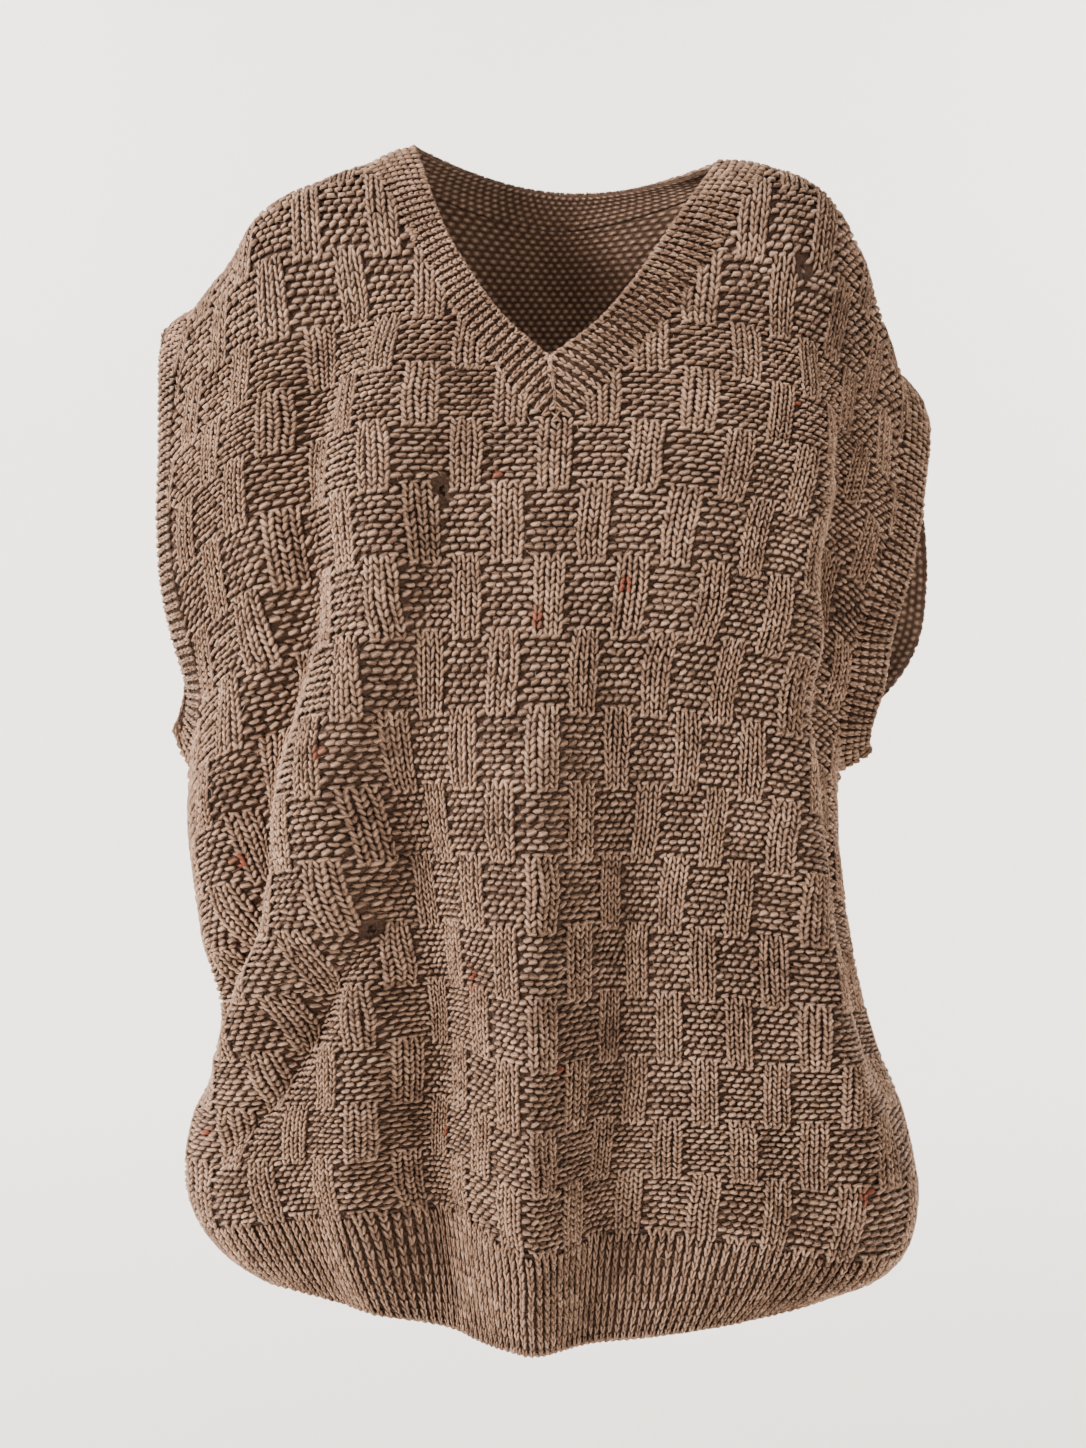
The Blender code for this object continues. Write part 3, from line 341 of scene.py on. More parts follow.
# ---- the yarn ------------------------------------------------------------------------------------
# Legs and bumps of yarn: length, width and thickness in millimetres, how high the middle lies over
# the cloth, how far the ends dip, and how far the middle bends sideways.
KNIT_LEG = dict(length=6.3, width=2.65, thick=2.7, height=1.1, dip=0.9, bend=0.15)
RIDGE_HEAD = dict(length=7.2, width=3.2, thick=3.6, height=1.8, dip=2.0, bend=1.1)
RIDGE_FOOT = dict(length=7.0, width=3.0, thick=3.2, height=1.4, dip=1.9, bend=-1.0)
DEEP_LOOP = dict(length=6.4, width=2.6, thick=2.0, height=0.2, dip=0.3, bend=0.0)
HEM_LEG = dict(length=6.3, width=2.2, thick=2.8, height=1.4, dip=0.8, bend=0.1)
BAND_LEG = dict(length=6.2, width=2.25, thick=3.1, height=1.5, dip=0.6, bend=0.1)
EDGE_LINK = dict(length=6.0, width=2.9, thick=2.9, height=0.3, dip=0.5, bend=0.4)
# Fine fibres that stand off the yarn, and how many there are for each square centimetre.
FUZZ = dict(length=7.0, width=0.17, thick=0.17, height=1.9, dip=-2.0, bend=0.9)
FUZZ_PER_CM2 = 0.75
FUZZ_SHADE, FUZZ_LIFT_MM, FUZZ_SIZE = (0.5, 1.3), (-0.8, 0.5), (0.5, 1.2)
FUZZ_MARGIN = 0.5  # stitches and rows beside an armhole or neckline that have none
YARN_TAPER = 0.45  # how much fuller a length of yarn is towards its ends than a ball drawn long

# How knit columns stand: stitches from a column's middle to the middle of a leg, and its lean.
PLAIN_STANCE = (0.24, 22.0)
HEM_STANCE = (0.155, 18.0)
BAND_STANCE = (0.135, 15.0)
LEG_UP = 0.55  # rows from the stitch's foot to the middle of a leg
SEAM_IN = 0.35  # a panel's outermost columns stand this many stitches in from the side seam
ARMHOLE_IN, TOP_IN = 0.3, 0.6  # least stitches and rows from a stitch to the edge of its panel
# How the yarn lies in and between the ridges: its form, stitches and rows from the stitch's foot to
# its middle, and degrees from the column. A ridge row shows two rows of bumps, half a stitch apart.
BUMPS = [(RIDGE_HEAD, 0.0, 1.00, 110.0), (RIDGE_FOOT, 0.5, 0.32, 103.0)]
LOOPS = [(DEEP_LOOP, 0.0, LEG_UP, 90.0)]
RIDGE_PAINTED_LIGHT = 0.03  # painted light: how much lighter the ridges' yarn is drawn than the strips', though it is the same yarn
DEEP_PAINTED_SHADE = 0.60  # painted shade: how much darker the yarn sunk between two ridges is drawn, for the shade in that hollow
STRIP_LIFT = 0.3 * MM  # how much prouder the strips' sides lie
STRIP_PUFF = 1.0 * MM  # and how much more their middle
STRIP_SPREAD = 0.07  # how much wider a strip is at half its height
STRIP_ENDS = (0.03, 0.97)  # shares of a strip's height between which it puffs up
PAINTED_SIDE_SHADE = 0.48  # painted shade: how much darker the yarn is drawn low between its neighbours, where shade falls
PAINTED_LIGHT_HEIGHT = 0.5  # painted light: from how high up, as a share of its thickness, the yarn is drawn light
HEM_LINK, BAND_LINK = 0.5, 0.75  # stitches from one link of an edge to the next
EDGE_IN = 0.1  # rows from an edge to its links
LINK_LEAN = 0.35  # radians that each link leans over the next
RIB_END = 0.3  # least rows from a stitch of a short rib to its end

# How uneven hand-knitted yarn is, as standard deviations: radians, share of its size, stitches,
# rows, height and lightness.
LEG_SPREAD = dict(turn=0.08, size=0.05, across=0.03, up=0.05, high=0.12 * MM, shade=0.05)
BUMP_SPREAD = dict(turn=0.16, size=0.06, across=0.05, up=0.05, high=0.12 * MM, shade=0.05)
DEEP_SPREAD = dict(turn=0.2, across=0.05, high=0.12 * MM)
LINK_SPREAD = dict(turn=0.1, shade=0.14)
STITCH_TONE = 0.08  # change of lightness from stitch to stitch
# How far stitches stray and how much the lightness changes softly, and over how many stitches and
# rows.
STRAY_ACROSS = (0.16, 3.1, 4.3)
STRAY_UP = (0.14, 2.7, 3.9)
SOFT_TONE = (0.08, 5.0, 6.5)
NOISE_CELLS = 64

# Holes worn through the front: their middle and their size.
HOLES = [
    # stitch  row  stitches_wide  rows_tall
    (-22.0, 50.0, 1.0, 1.5),
    (-10.0, 110.0, 0.7, 1.9),
    (22.0, 150.0, 0.9, 1.4),
]
FRAYED = 2.3  # yarn is worn away up to this many half sizes from a hole's middle
HOLE_SIDES, HOLE_CUT = 10, 12 * MM
# Rust-coloured flecks in the front's yarn, and their reach.
FLECKS = [
    # stitch  row  stitches_wide  rows_tall
    (7.5, 97.0, 0.7, 0.9),
    (37.5, 9.5, 0.8, 1.0),
    (-22.5, 76.0, 0.5, 0.7),
    (-9.0, 42.0, 0.5, 1.8),
    (-43.0, 16.5, 0.6, 0.8),
    (2.0, 29.5, 0.5, 0.8),
    (-14.5, 15.0, 0.5, 0.9),
    (-37.5, 64.0, 0.5, 0.8),
    (22.0, 127.5, 0.5, 0.7),
    (-1.0, 92.5, 0.4, 1.2),
    (-5.0, 112.0, 0.5, 0.7),
]
FLECK_DEPTH = 1.6  # how strong a fleck is in its middle, where 1 is full rust

# ---- how finely it is worked out -----------------------------------------------------------------
SAMPLE = 0.5  # stitches and rows between the sampled places of a panel
RIB_SAMPLES = 2  # sampled places for each rib of a band
OUTLINE_POINTS = 400  # places along an armhole, from which a band's even ones are taken
EDGE_REACH, SMOOTH_REACH = 3, 5  # sampled places either side that set a band's run and smooth it
PANEL_GRID = (72, 62)  # columns and rows of a panel's shell
WELD = 0.1 * MM
SEEDS = dict(
    front=20,
    back=40,
    hem_rib_front=50,
    hem_rib_back=60,
    front_fuzz=30,
    back_fuzz=31,
    neckband=70,
    armhole_band_left=75,
    armhole_band_right=80,
)
PANEL_FIBRES = 33


# ---- small helpers -------------------------------------------------------------------------------
def column(table, index):
    return np.array([row[index] for row in table], float)


def along(table, index, at):
    """A table's column as a smooth curve through its rows, read at the given places."""
    knots, values = column(table, 0), column(table, index)
    slopes = np.gradient(values, knots)
    at = np.clip(np.asarray(at, float), knots[0], knots[-1])
    i = np.clip(np.searchsorted(knots, at, side="right") - 1, 0, len(knots) - 2)
    span = knots[i + 1] - knots[i]
    t = (at - knots[i]) / span
    return (
        (1 + 2 * t) * (1 - t) ** 2 * values[i]
        + t * (1 - t) ** 2 * span * slopes[i]
        + t * t * (3 - 2 * t) * values[i + 1]
        + t * t * (t - 1) * span * slopes[i + 1]
    )


def sided(table, left_column, right_column, at):
    """A table's value at a signed place: the left column's where it is negative, else the right's."""
    count = np.abs(at)
    return np.where(at < 0, along(table, left_column, count), along(table, right_column, count))


def ease(t):
    t = np.clip(t, 0.0, 1.0)
    return t * t * (3 - 2 * t)


def unit(v):
    return v / np.maximum(np.linalg.norm(v, axis=-1, keepdims=True), 1e-12)


def blended(values, at_row, at_column, row_share, column_share):
    """Values of a grid between two of its rows and two of its columns."""
    low, high = (
        values[j, at_column[0]] * (1 - column_share) + values[j, at_column[1]] * column_share
        for j in at_row
    )
    return low * (1 - row_share) + high * row_share


def picked(values, at, bend=lambda share: share):
    """From each row of values the one at the row's own place, which may lie between two columns."""
    low = np.clip(at.astype(int), 0, values.shape[1] - 2)
    part = bend(at - low)
    pick = np.arange(len(values))
    return values[pick, low] * (1 - part) + values[pick, low + 1] * part


def soft_noise(x, y, seed):
    """Even random values from -1 to 1 that change softly over a distance of 1."""
    lattice = np.random.default_rng(seed).uniform(-1, 1, (NOISE_CELLS, NOISE_CELLS))
    i, j = np.floor(x).astype(int), np.floor(y).astype(int)
    at_row, at_column = ((n % NOISE_CELLS, (n + 1) % NOISE_CELLS) for n in (j, i))
    return blended(lattice, at_row, at_column, ease(y - j), ease(x - i))


def every(columns, rows):
    """Each pairing of a column and a row, as two flat runs."""
    return [values.ravel() for values in np.meshgrid(columns, rows)]


# ---- flat pattern outline ------------------------------------------------------------------------
def armhole_stitch(row):
    """Edge of a panel at a row, in stitches from the centre line."""
    over = np.asarray(row, float) - UNDERARM_ROW
    left_to_turn = 1 - np.clip(over / ARMHOLE_CURVE_ROWS, 0, 1)
    curve = (SIDE_STITCH - ARMHOLE_STITCH_LOW) * (1 - np.sqrt(1 - left_to_turn**2))
    rise = over / (NECK_ROW - SHOULDER_FALL_ROWS - UNDERARM_ROW)
    widen = (ARMHOLE_STITCH_TOP - ARMHOLE_STITCH_LOW) * ease(rise)
    return np.where(over <= 0, SIDE_STITCH, ARMHOLE_STITCH_LOW + curve + widen)


def shoulder_row(stitch):
    past = (np.abs(stitch) - NECK_STITCH) / (ARMHOLE_STITCH_TOP - NECK_STITCH)
    return NECK_ROW - SHOULDER_FALL_ROWS * np.clip(past, 0, 1)


def top_row(stitch, back):
    """Upper edge of a panel at a stitch: its neckline, and beyond the neck corners its shoulder."""
    share = np.clip(np.abs(stitch) / NECK_STITCH, 0, 1)
    if back:
        neckline = NECK_ROW - BACK_NECK_FALL_ROWS * (1 - share**BACK_NECK_POWER)
    else:
        neckline = V_POINT_ROW + (NECK_ROW - V_POINT_ROW) * share ** (1 / V_EASE)
    return np.where(np.abs(stitch) < NECK_STITCH, neckline, shoulder_row(stitch))


# ---- the hanging surface -------------------------------------------------------------------------
def headings(stitches, ridge, crown_deg, closing):
    """Direction of a row line seen from above, turning back at the ridge."""
    crown = crown_deg * np.clip(stitches / ridge, 0, 1) ** CROWN_POWER
    turn = (SIDE_DEG - crown_deg) * ease((stitches - ridge) / RIDGE_WIDTH + 0.5)
    past = np.clip((stitches - ridge) / (SIDE_STITCH - ridge), 0, 1)
    return np.radians(crown + turn + closing * (SEAM_DEG - SIDE_DEG) * past**2)


def half_section(row, stitch, centre, side, ridge, crown_deg):
    """Place on one row line, from its centre to its side, laid out at even stitches."""
    steps = np.linspace(0, SIDE_STITCH, SECTION_POINTS)
    closing = 1 - ease((row - CLOSING_ROWS[0]) / (CLOSING_ROWS[1] - CLOSING_ROWS[0]))
    angle = headings(steps[None, :], ridge[:, None], crown_deg, closing[:, None])
    at = np.clip(stitch / SIDE_STITCH, 0, 1) * (len(steps) - 1)
    place = []
    for n, heading in enumerate((np.cos(angle), np.sin(angle))):
        run = np.cumsum((heading[:, 1:] + heading[:, :-1]) / 2, axis=1)
        run = np.concatenate([np.zeros((len(row), 1)), run], axis=1)
        place.append(centre[n] + (side[n] - centre[n]) * (picked(run, at) / run[:, -1]))
    fall = (stitch / SIDE_STITCH) ** along(FALL_POWER, 1, row)
    place.append(centre[2] + (side[2] - centre[2]) * fall)
    return np.stack(place, axis=-1)


def side_line(table, columns, row, back):
    """The side seam's line, one for both panels, which parts above the underarm."""
    front_line, back_line = (along(table, i, row) for i in columns)
    shared = (front_line + back_line) / 2
    own = back_line if back else front_line
    return shared + (own - shared) * ease((row - UNDERARM_ROW) / UNDERARM_EASE_ROWS)


def fold_height(folds, stitch, row):
    total = np.zeros_like(row)
    for stitch_top, stitch_low, row_top, row_low, half_width, height in folds:
        share = np.clip((row - row_low) / (row_top - row_low), 0, 1)
        middle = stitch_low + (stitch_top - stitch_low) * share
        fade = ease((row_top - row) / FOLD_FADE_ROWS)
        fade = fade * ease((row - row_low) / FOLD_FADE_ROWS + 0.5)
        total += height * fade * np.exp(-(((stitch - middle) / half_width) ** 2))
    return total * ease((SIDE_STITCH - np.abs(stitch)) / SEAM_HOLD)


def read_table(table, table_rows, stitch, row):
    """A table's value at a flat place: its columns belong to the given rows."""
    values = np.stack([along(table, i + 1, stitch) for i in range(len(table_rows))], axis=-1)
    return picked(values, np.interp(row, table_rows, range(len(table_rows))), ease)


def shoulder_line(stitch):
    """The shoulder seam on the side of the stitch's sign."""
    x, z = sided(SHOULDER, 1, 3, stitch), sided(SHOULDER, 2, 4, stitch)
    return np.stack([x, np.full_like(x, SHOULDER_Y), z], axis=-1)


def draped(stitch, row, back):
    """The section lines and folds, before the top is laid onto the shoulder seam."""
    at = stitch if back else stitch + read_table(SLIDE, SLIDE_ROWS, stitch, row)
    centre_table = BACK_CENTRE if back else FRONT_CENTRE
    centre = [along(centre_table, i, row) for i in (1, 2, 3)]
    halves = []
    for table, ridge_column in ((LEFT_SIDE, 1), (RIGHT_SIDE, 2)):
        side = [side_line(table, pair, row, back) for pair in ((1, 3), (2, 4))]
        side.append(along(table, 5, row))
        ridge = np.full_like(row, BACK_RIDGE) if back else along(RIDGE, ridge_column, row)
        crown = BACK_CROWN_DEG if back else CROWN_DEG
        halves.append(half_section(row, np.abs(at), centre, side, ridge, crown))
    place = np.where((stitch < 0)[:, None], halves[0], halves[1])
    height = fold_height(BACK_FOLDS if back else FRONT_FOLDS, stitch, row)
    turn = np.clip(at / SIDE_STITCH, -1, 1) * FOLD_TURN
    stand_off = np.stack([np.sin(turn), -np.cos(turn), 0 * turn], axis=-1)
    if back:
        stand_off[:, 1] *= -1
    else:
        place[:, 2] += read_table(DRAWN_UP, DRAWN_ROWS, at, row)
    return place + stand_off * height[:, None]


def surface(stitch, row, back):
    """Place of a flat point on the hanging vest, in metres: the base of the knitting's outer face."""
    stitch, row = np.broadcast_arrays(np.asarray(stitch, float), np.asarray(row, float))
    shape = stitch.shape
    stitch, row = stitch.ravel(), row.ravel()
    place = draped(stitch, row, back)
    count = np.clip(np.abs(stitch), NECK_STITCH, ARMHOLE_STITCH_TOP)
    on_seam = np.where(stitch < 0, -count, count)
    seam_row = shoulder_row(on_seam)
    miss = shoulder_line(on_seam) - draped(on_seam, seam_row, back)
    near_seam = ease(np.abs(stitch) / NECK_STITCH)
    weight = near_seam * ease(1 - (seam_row - row) / SHOULDER_BLEND_ROWS)
    place = place + miss * weight[:, None]
    reach = SHOULDER_SLOPE_REACH
    slope = shoulder_line(on_seam + reach) - shoulder_line(on_seam - reach)
    upward = unit(np.stack([-slope[:, 2], 0 * row, slope[:, 0]], axis=-1))
    down = (seam_row - row) / SHOULDER_ROUND_ROWS
    bulge = SHOULDER_ROUND * near_seam * down * np.exp(1 - np.maximum(down, 0))
    place = place + upward * bulge[:, None]
    return (place * CM).reshape(shape + (3,))


def outward(stitch, row, back, step=0.25):
    """Unit normal of the surface, away from the wearer."""
    right = np.minimum(stitch + step, SIDE_STITCH)
    left = np.maximum(stitch - step, -SIDE_STITCH)
    across = surface(right, row, back) - surface(left, row, back)
    up = surface(stitch, row + step, back) - surface(stitch, row - step, back)
    return unit(np.cross(up, across) if back else np.cross(across, up))


def neck_edge_front(share):
    """Free edge of the neckband on the front; share runs from -1 (left) through the V to 1."""
    x, z = sided(NECK_EDGE_FRONT, 1, 3, share), sided(NECK_EDGE_FRONT, 2, 4, share)
    return np.stack([x, along(NECK_EDGE_FRONT, 5, np.abs(share)), z], axis=-1) * CM


def neck_edge_back(share):
    """Free edge across the back of the neck, from the right shoulder (0) to the left (1)."""
    right, left = neck_edge_front(np.array([1.0, -1.0]))
    edge = right + (left - right) * share[:, None]
    round_back = np.sin(np.pi * share)
    edge[:, 1] += NECK_BACK_DEPTH * CM * round_back**NECK_BACK_POWER
    edge[:, 2] -= NECK_BACK_SAG * CM * round_back
    return edge


# ---- sampled cloths ------------------------------------------------------------------------------
def sampled(grid, normal, first, step, worn=False):
    """A cloth as places and normals on an even grid: axis 0 runs along, axis 1 across. A worn cloth
    has the holes and the flecks."""
    return dict(grid=grid, normal=normal, first=first, step=step, worn=worn)


def sampled_panels():
    """Front and back on an even grid of stitches and rows, with shared normals at the side seams."""
    stitches = np.arange(-SIDE_STITCH, SIDE_STITCH + SAMPLE / 2, SAMPLE)
    rows = np.arange(-RIB_ROWS, NECK_ROW + SAMPLE / 2, SAMPLE)
    cloths = []
    for back in (False, True):
        grid = surface(stitches[None, :], rows[:, None], back)
        across, up = np.gradient(grid, axis=1), np.gradient(grid, axis=0)
        normal = unit(np.cross(up, across) if back else np.cross(across, up))
        first = (stitches[0], rows[0])
        cloths.append(sampled(grid, normal, first, (SAMPLE, SAMPLE), worn=not back))
    below = rows <= UNDERARM_ROW
    for edge in (0, -1):
        shared = unit(cloths[0]["normal"][below, edge] + cloths[1]["normal"][below, edge])
        for cloth in cloths:
            cloth["normal"][below, edge] = shared
    return cloths


def lay(cloth, across, along_it, height):
    """Carries flat places onto a cloth, at a height off it."""
    grid, normal = cloth["grid"], cloth["normal"]
    u = (across - cloth["first"][0]) / cloth["step"][0]
    v = (along_it - cloth["first"][1]) / cloth["step"][1]
    i = np.clip(np.floor(u).astype(int), 0, grid.shape[1] - 2)
    j = np.clip(np.floor(v).astype(int), 0, grid.shape[0] - 2)
    at = (j, j + 1), (i, i + 1), (v - j)[..., None], (u - i)[..., None]
    return blended(grid, *at) + unit(blended(normal, *at)) * np.asarray(height)[..., None]


# ---- bands as cloths -----------------------------------------------------------------------------
def outline_run(stitches, rows, back, count):
    """Even places along a stretch of a panel's outline, their normals, and each one's row."""
    dense = surface(stitches, rows, back)
    run = np.concatenate([[0], np.cumsum(np.linalg.norm(np.diff(dense, axis=0), axis=1))])
    at = np.linspace(0, run[-1], count + 1)
    places = np.stack([np.interp(at, run, dense[:, n]) for n in range(3)], axis=-1)
    at_row, at_stitch = (np.interp(at / run[-1], run / run[-1], values) for values in (rows, stitches))
    return places, outward(at_stitch, at_row, back), at_row


def off_edge(edge, edge_normal, toward, reach):
    """Unit direction square to a closed edge and in its surface, on the side of `toward`."""
    heading = np.roll(edge, -reach, axis=0) - np.roll(edge, reach, axis=0)
    square = unit(np.cross(heading, edge_normal))
    return square * np.sign((square * toward).sum(axis=1, keepdims=True))


def smoothed(ring, reach):
    """A closed run of vectors, each averaged with its neighbours."""
    return sum(np.roll(ring, shift, axis=0) for shift in range(-reach, reach + 1)) / (2 * reach + 1)


def band_cloth(edge, edge_normal, free, rows, length):
    """A band from its seam to its free edge, with a slight crown, on an even grid. The length of its
    ribs is a share of the band's width."""
    share = np.linspace(-SEAM_TUCK, 1, rows + 1)[None, :, None]
    off_seam = share * length[:, None, None]
    crown = edge_normal[:, None] * BAND_CROWN * 4 * off_seam * (1 - off_seam)
    grid = edge[:, None] + (free - edge)[:, None] * share + crown
    along_it = np.roll(grid, -1, axis=0) - np.roll(grid, 1, axis=0)
    normal = unit(np.cross(along_it, np.gradient(grid, axis=1)))
    normal *= np.sign((normal * edge_normal[:, None]).sum(axis=-1, keepdims=True))
    # Ribs run round the ring across the cloth, rows from the seam to the edge along it.
    grid, normal = (np.concatenate([ring, ring[:1]]).transpose(1, 0, 2) for ring in (grid, normal))
    return sampled(grid, normal, (0, 0), (1 / RIB_SAMPLES, 1))


def armhole_cloth(side):
    """The band round an armhole, and how many ribs it has."""
    share = np.linspace(0, 1, OUTLINE_POINTS) ** 2
    rows = UNDERARM_ROW + (NECK_ROW - SHOULDER_FALL_ROWS - UNDERARM_ROW) * share
    stitches = side * armhole_stitch(rows)
    stitches[0] = side * SIDE_STITCH
    runs = []
    for back, count in zip((False, True), ARMHOLE_RIBS):
        places, normals, at_row = outline_run(stitches, rows, back, count * RIB_SAMPLES)
        column_of = (2 if back else 1) + (side + 1)
        lean = along(BAND_LEAN, column_of, at_row)[:, None]
        turn = along(BAND_LEAN, 5, at_row)[:, None] * float(side < 0 and not back)
        run = np.hstack([places, normals, lean, turn])
        runs.append(run[::-1] if back else run)
    joints = [(runs[0][0] + runs[1][-1]) / 2, (runs[0][-1] + runs[1][0]) / 2]
    ring = np.vstack([joints[:1], runs[0][1:-1], joints[1:], runs[1][1:-1]])
    edge, edge_normal, lean, turn = ring[:, :3], unit(ring[:, 3:6]), ring[:, 6:7], ring[:, 7:]
    arm = unit(np.array([side, 0, -ARM_SLOPE]))
    toward = unit(edge.mean(axis=0) - edge) + arm / 2
    own = off_edge(edge, edge_normal, toward, EDGE_REACH)
    heading = own * (1 - lean) + arm * lean + np.array([0, 1, 0]) * turn
    away = unit(smoothed(heading, SMOOTH_REACH)) * ARMHOLE_BAND_WIDTH
    length = full_length(edge)
    return band_cloth(edge, edge_normal, edge + away, ARMHOLE_ROWS, length), sum(ARMHOLE_RIBS)


def mitred(share):
    """Where on its free edge the band's front has the end of the rib that starts at a share of the
    seam: a rib runs square to the seam, and beside the V point it stops at the mitre."""
    count = np.abs(share)
    drawn_in = MITRE_SHARE * ((1 - count) / (1 - MITRE_SHARE)) ** MITRE_POWER
    return np.sign(share) * np.clip(count - drawn_in, 0, 1)


def neck_rib_length(rib):
    """How long a rib of the neckband is, as a share of the band's width."""
    return np.clip(np.abs(rib / NECK_RIBS[0] - 1) / MITRE_SHARE, SHORTEST_RIB, 1.0)


def full_length(rib):
    return np.ones(len(rib))


def neck_cloth():
    """The band round the neck, and how many ribs it has."""
    reach = np.linspace(0, 1, OUTLINE_POINTS // 2)
    left = (-NECK_STITCH * (1 - reach), False)
    right = (NECK_STITCH * reach, False)
    behind = (NECK_STITCH * (1 - 2 * reach), True)
    runs, shares = [], []
    for n, (stitches, back) in enumerate((left, right, behind)):
        count = NECK_RIBS[n] * RIB_SAMPLES
        places, normals, _ = outline_run(stitches, top_row(stitches, back), back, count)
        runs.append(np.hstack([places, normals])[:-1])
        shares.append(np.linspace(n - 1, n, count + 1)[:-1])
    ring, share = np.vstack(runs), np.concatenate(shares)
    edge, edge_normal = ring[:, :3], unit(ring[:, 3:])
    front_edge = neck_edge_front(mitred(np.clip(share, -1, 1)))
    back_edge = neck_edge_back(np.clip(share - 1, 0, 1))
    free = np.where((share <= 1)[:, None], front_edge, back_edge)
    v_point = edge[np.argmin(np.abs(share))]
    length = neck_rib_length((share + 1) * NECK_RIBS[0])
    free = np.where(length[:, None] < 1, v_point + (free - v_point) * length[:, None], free)
    return band_cloth(edge, edge_normal, free, NECKBAND_ROWS, length), sum(NECK_RIBS)


def band_run(cloth, band_rows):
    """Length of a band along its middle."""
    return np.linalg.norm(np.diff(cloth["grid"][band_rows // 2], axis=0), axis=1).sum()


# ---- lengths of yarn -----------------------------------------------------------------------------
def deselect_all():
    for thing in bpy.context.selected_objects:
        thing.select_set(False)


def yarn_shape(sides, rings):
    """A short length of yarn, round and pointed: x across, y along, z up, each from -1 to 1."""
    deselect_all()
    bpy.ops.mesh.primitive_uv_sphere_add(segments=sides, ring_count=rings, radius=1)
    shape = bpy.context.active_object
    bpy.ops.object.mode_set(mode="EDIT")
    bpy.ops.mesh.select_all(action="SELECT")
    bpy.ops.transform.rotate(value=math.pi / 2, orient_axis="X", center_override=(0, 0, 0))
    bpy.ops.mesh.quads_convert_to_tris()
    bpy.ops.object.mode_set(mode="OBJECT")
    points = np.array([v.co for v in shape.data.vertices])
    faces = np.array([p.vertices for p in shape.data.polygons])
    bpy.data.objects.remove(shape)
    # Fuller towards both ends than a ball drawn long, as a tucked loop is. The tips stay pointed.
    girth = np.hypot(points[:, 0], points[:, 2])
    fuller = np.where(girth > 0.1, np.maximum(girth, 0.001) ** -YARN_TAPER, 1.0)
    points[:, 0] *= fuller
    points[:, 2] *= fuller
    return points, faces


def strewn(cloth, scale, across, along_it, heading, form, shade, lift=0.0, size=1.0, shape=None):
    """Lays one length of yarn at each flat place. `scale` is the size of a stitch and a row there,
    and `heading` turns the yarn from up its column (0) to along its row, in radians. Returns the
    points, the faces, and for each point a shade, a rust stain and its place in the yarn in
    millimetres."""
    points, faces = shape or YARN_LEG
    kept = ~in_hole(cloth, across, along_it)
    across, along_it, heading, shade, lift, size, wide, tall = (
        np.broadcast_to(values, kept.shape)[kept][:, None]
        for values in (across, along_it, heading, shade, lift, size, *scale)
    )
    count = len(across)
    x, y, z = (points[:, n][None, :] for n in range(3))
    arch = 1 - y**2
    side = x * form["width"] / 2 * size
    run = y * form["length"] / 2 * size
    depth = z * form["thick"] / 2 * size
    apart = np.random.default_rng(count).uniform(0, YARN_APART, (count, 1))
    in_yarn = np.stack([side + apart, run, depth], axis=-1)
    bent = side + form["bend"] * arch
    up = depth + form["height"] - form["dip"] * (1 - arch)
    dx = (bent * np.cos(heading) - run * np.sin(heading)) * MM
    dy = (bent * np.sin(heading) + run * np.cos(heading)) * MM
    placed = lay(cloth, across + dx / wide, along_it + dy / tall, up * MM + lift)
    corners = placed[0][faces]
    if (corners[:, 0] * np.cross(corners[:, 1], corners[:, 2])).sum() < 0:
        faces = faces[:, ::-1]
    offsets = np.arange(count) * len(points)
    all_faces = (faces[None] + offsets[:, None, None]).reshape(-1, 3)
    # Painted shade and light: each point's tone is drawn darker low on the yarn, between its neighbours,
    # and lighter on its top.
    tone_and_painted_shade = np.clip(shade + PAINTED_SIDE_SHADE * (z - PAINTED_LIGHT_HEIGHT), 0, 1)
    stain = np.repeat(rust(cloth, across[:, 0], along_it[:, 0]), len(points))
    return placed.reshape(-1, 3), all_faces, tone_and_painted_shade.ravel(), stain, in_yarn.reshape(-1, 3)


def spots(table, across, along_it):
    """For each spot of a table, how far flat places lie from its middle: squares of its own size."""
    for stitch, row, wide, tall in table:
        yield ((across - stitch) / wide) ** 2 + ((along_it - row) / tall) ** 2


def in_hole(cloth, across, along_it):
    """Whether the yarn at a flat place is worn away."""
    gone = np.zeros(len(across), bool)
    if cloth["worn"]:
        for off in spots(HOLES, across, along_it):
            gone |= off < (FRAYED / 2) ** 2
    return gone


def rust(cloth, across, along_it):
    """How much of a rust-coloured fleck a flat place has, 0 to 1."""
    amount = np.zeros(len(across))
    if cloth["worn"]:
        for off in spots(FLECKS, across, along_it):
            amount = np.maximum(amount, np.clip(FLECK_DEPTH - off, 0, 1))
    return amount


def joined(name, groups):
    """One mesh of yarn from many closed copies, with what each group brings for its points."""
    start, faces = 0, []
    for group in groups:
        faces.append(group[1] + start)
        start += len(group[0])
    faces = np.vstack(faces)
    points, shades, stains, in_yarn = (
        np.concatenate([group[n] for group in groups]).astype(np.float32) for n in (0, 2, 3, 4)
    )
    mesh = bpy.data.meshes.new(name)
    mesh.vertices.add(len(points))
    mesh.vertices.foreach_set("co", points.ravel())
    mesh.loops.add(faces.size)
    mesh.loops.foreach_set("vertex_index", faces.astype(np.int32).ravel())
    mesh.polygons.add(len(faces))
    mesh.polygons.foreach_set("loop_start", np.arange(0, faces.size, 3, dtype=np.int32))
    mesh.update(calc_edges=True)
    for label, values in (("shade", shades), ("stain", stains)):
        mesh.attributes.new(label, "FLOAT", "POINT").data.foreach_set("value", values)
    mesh.attributes.new("in_yarn", "FLOAT_VECTOR", "POINT").data.foreach_set("vector", in_yarn.ravel())
    piece = bpy.data.objects.new(name, mesh)
    bpy.context.scene.collection.objects.link(piece)
    return finished(piece, YARN)


def finished(piece, material):
    """A smooth piece of the vest in its material."""
    piece.data.shade_smooth()
    piece.data.materials.append(material)
    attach(piece, "root")
    return piece


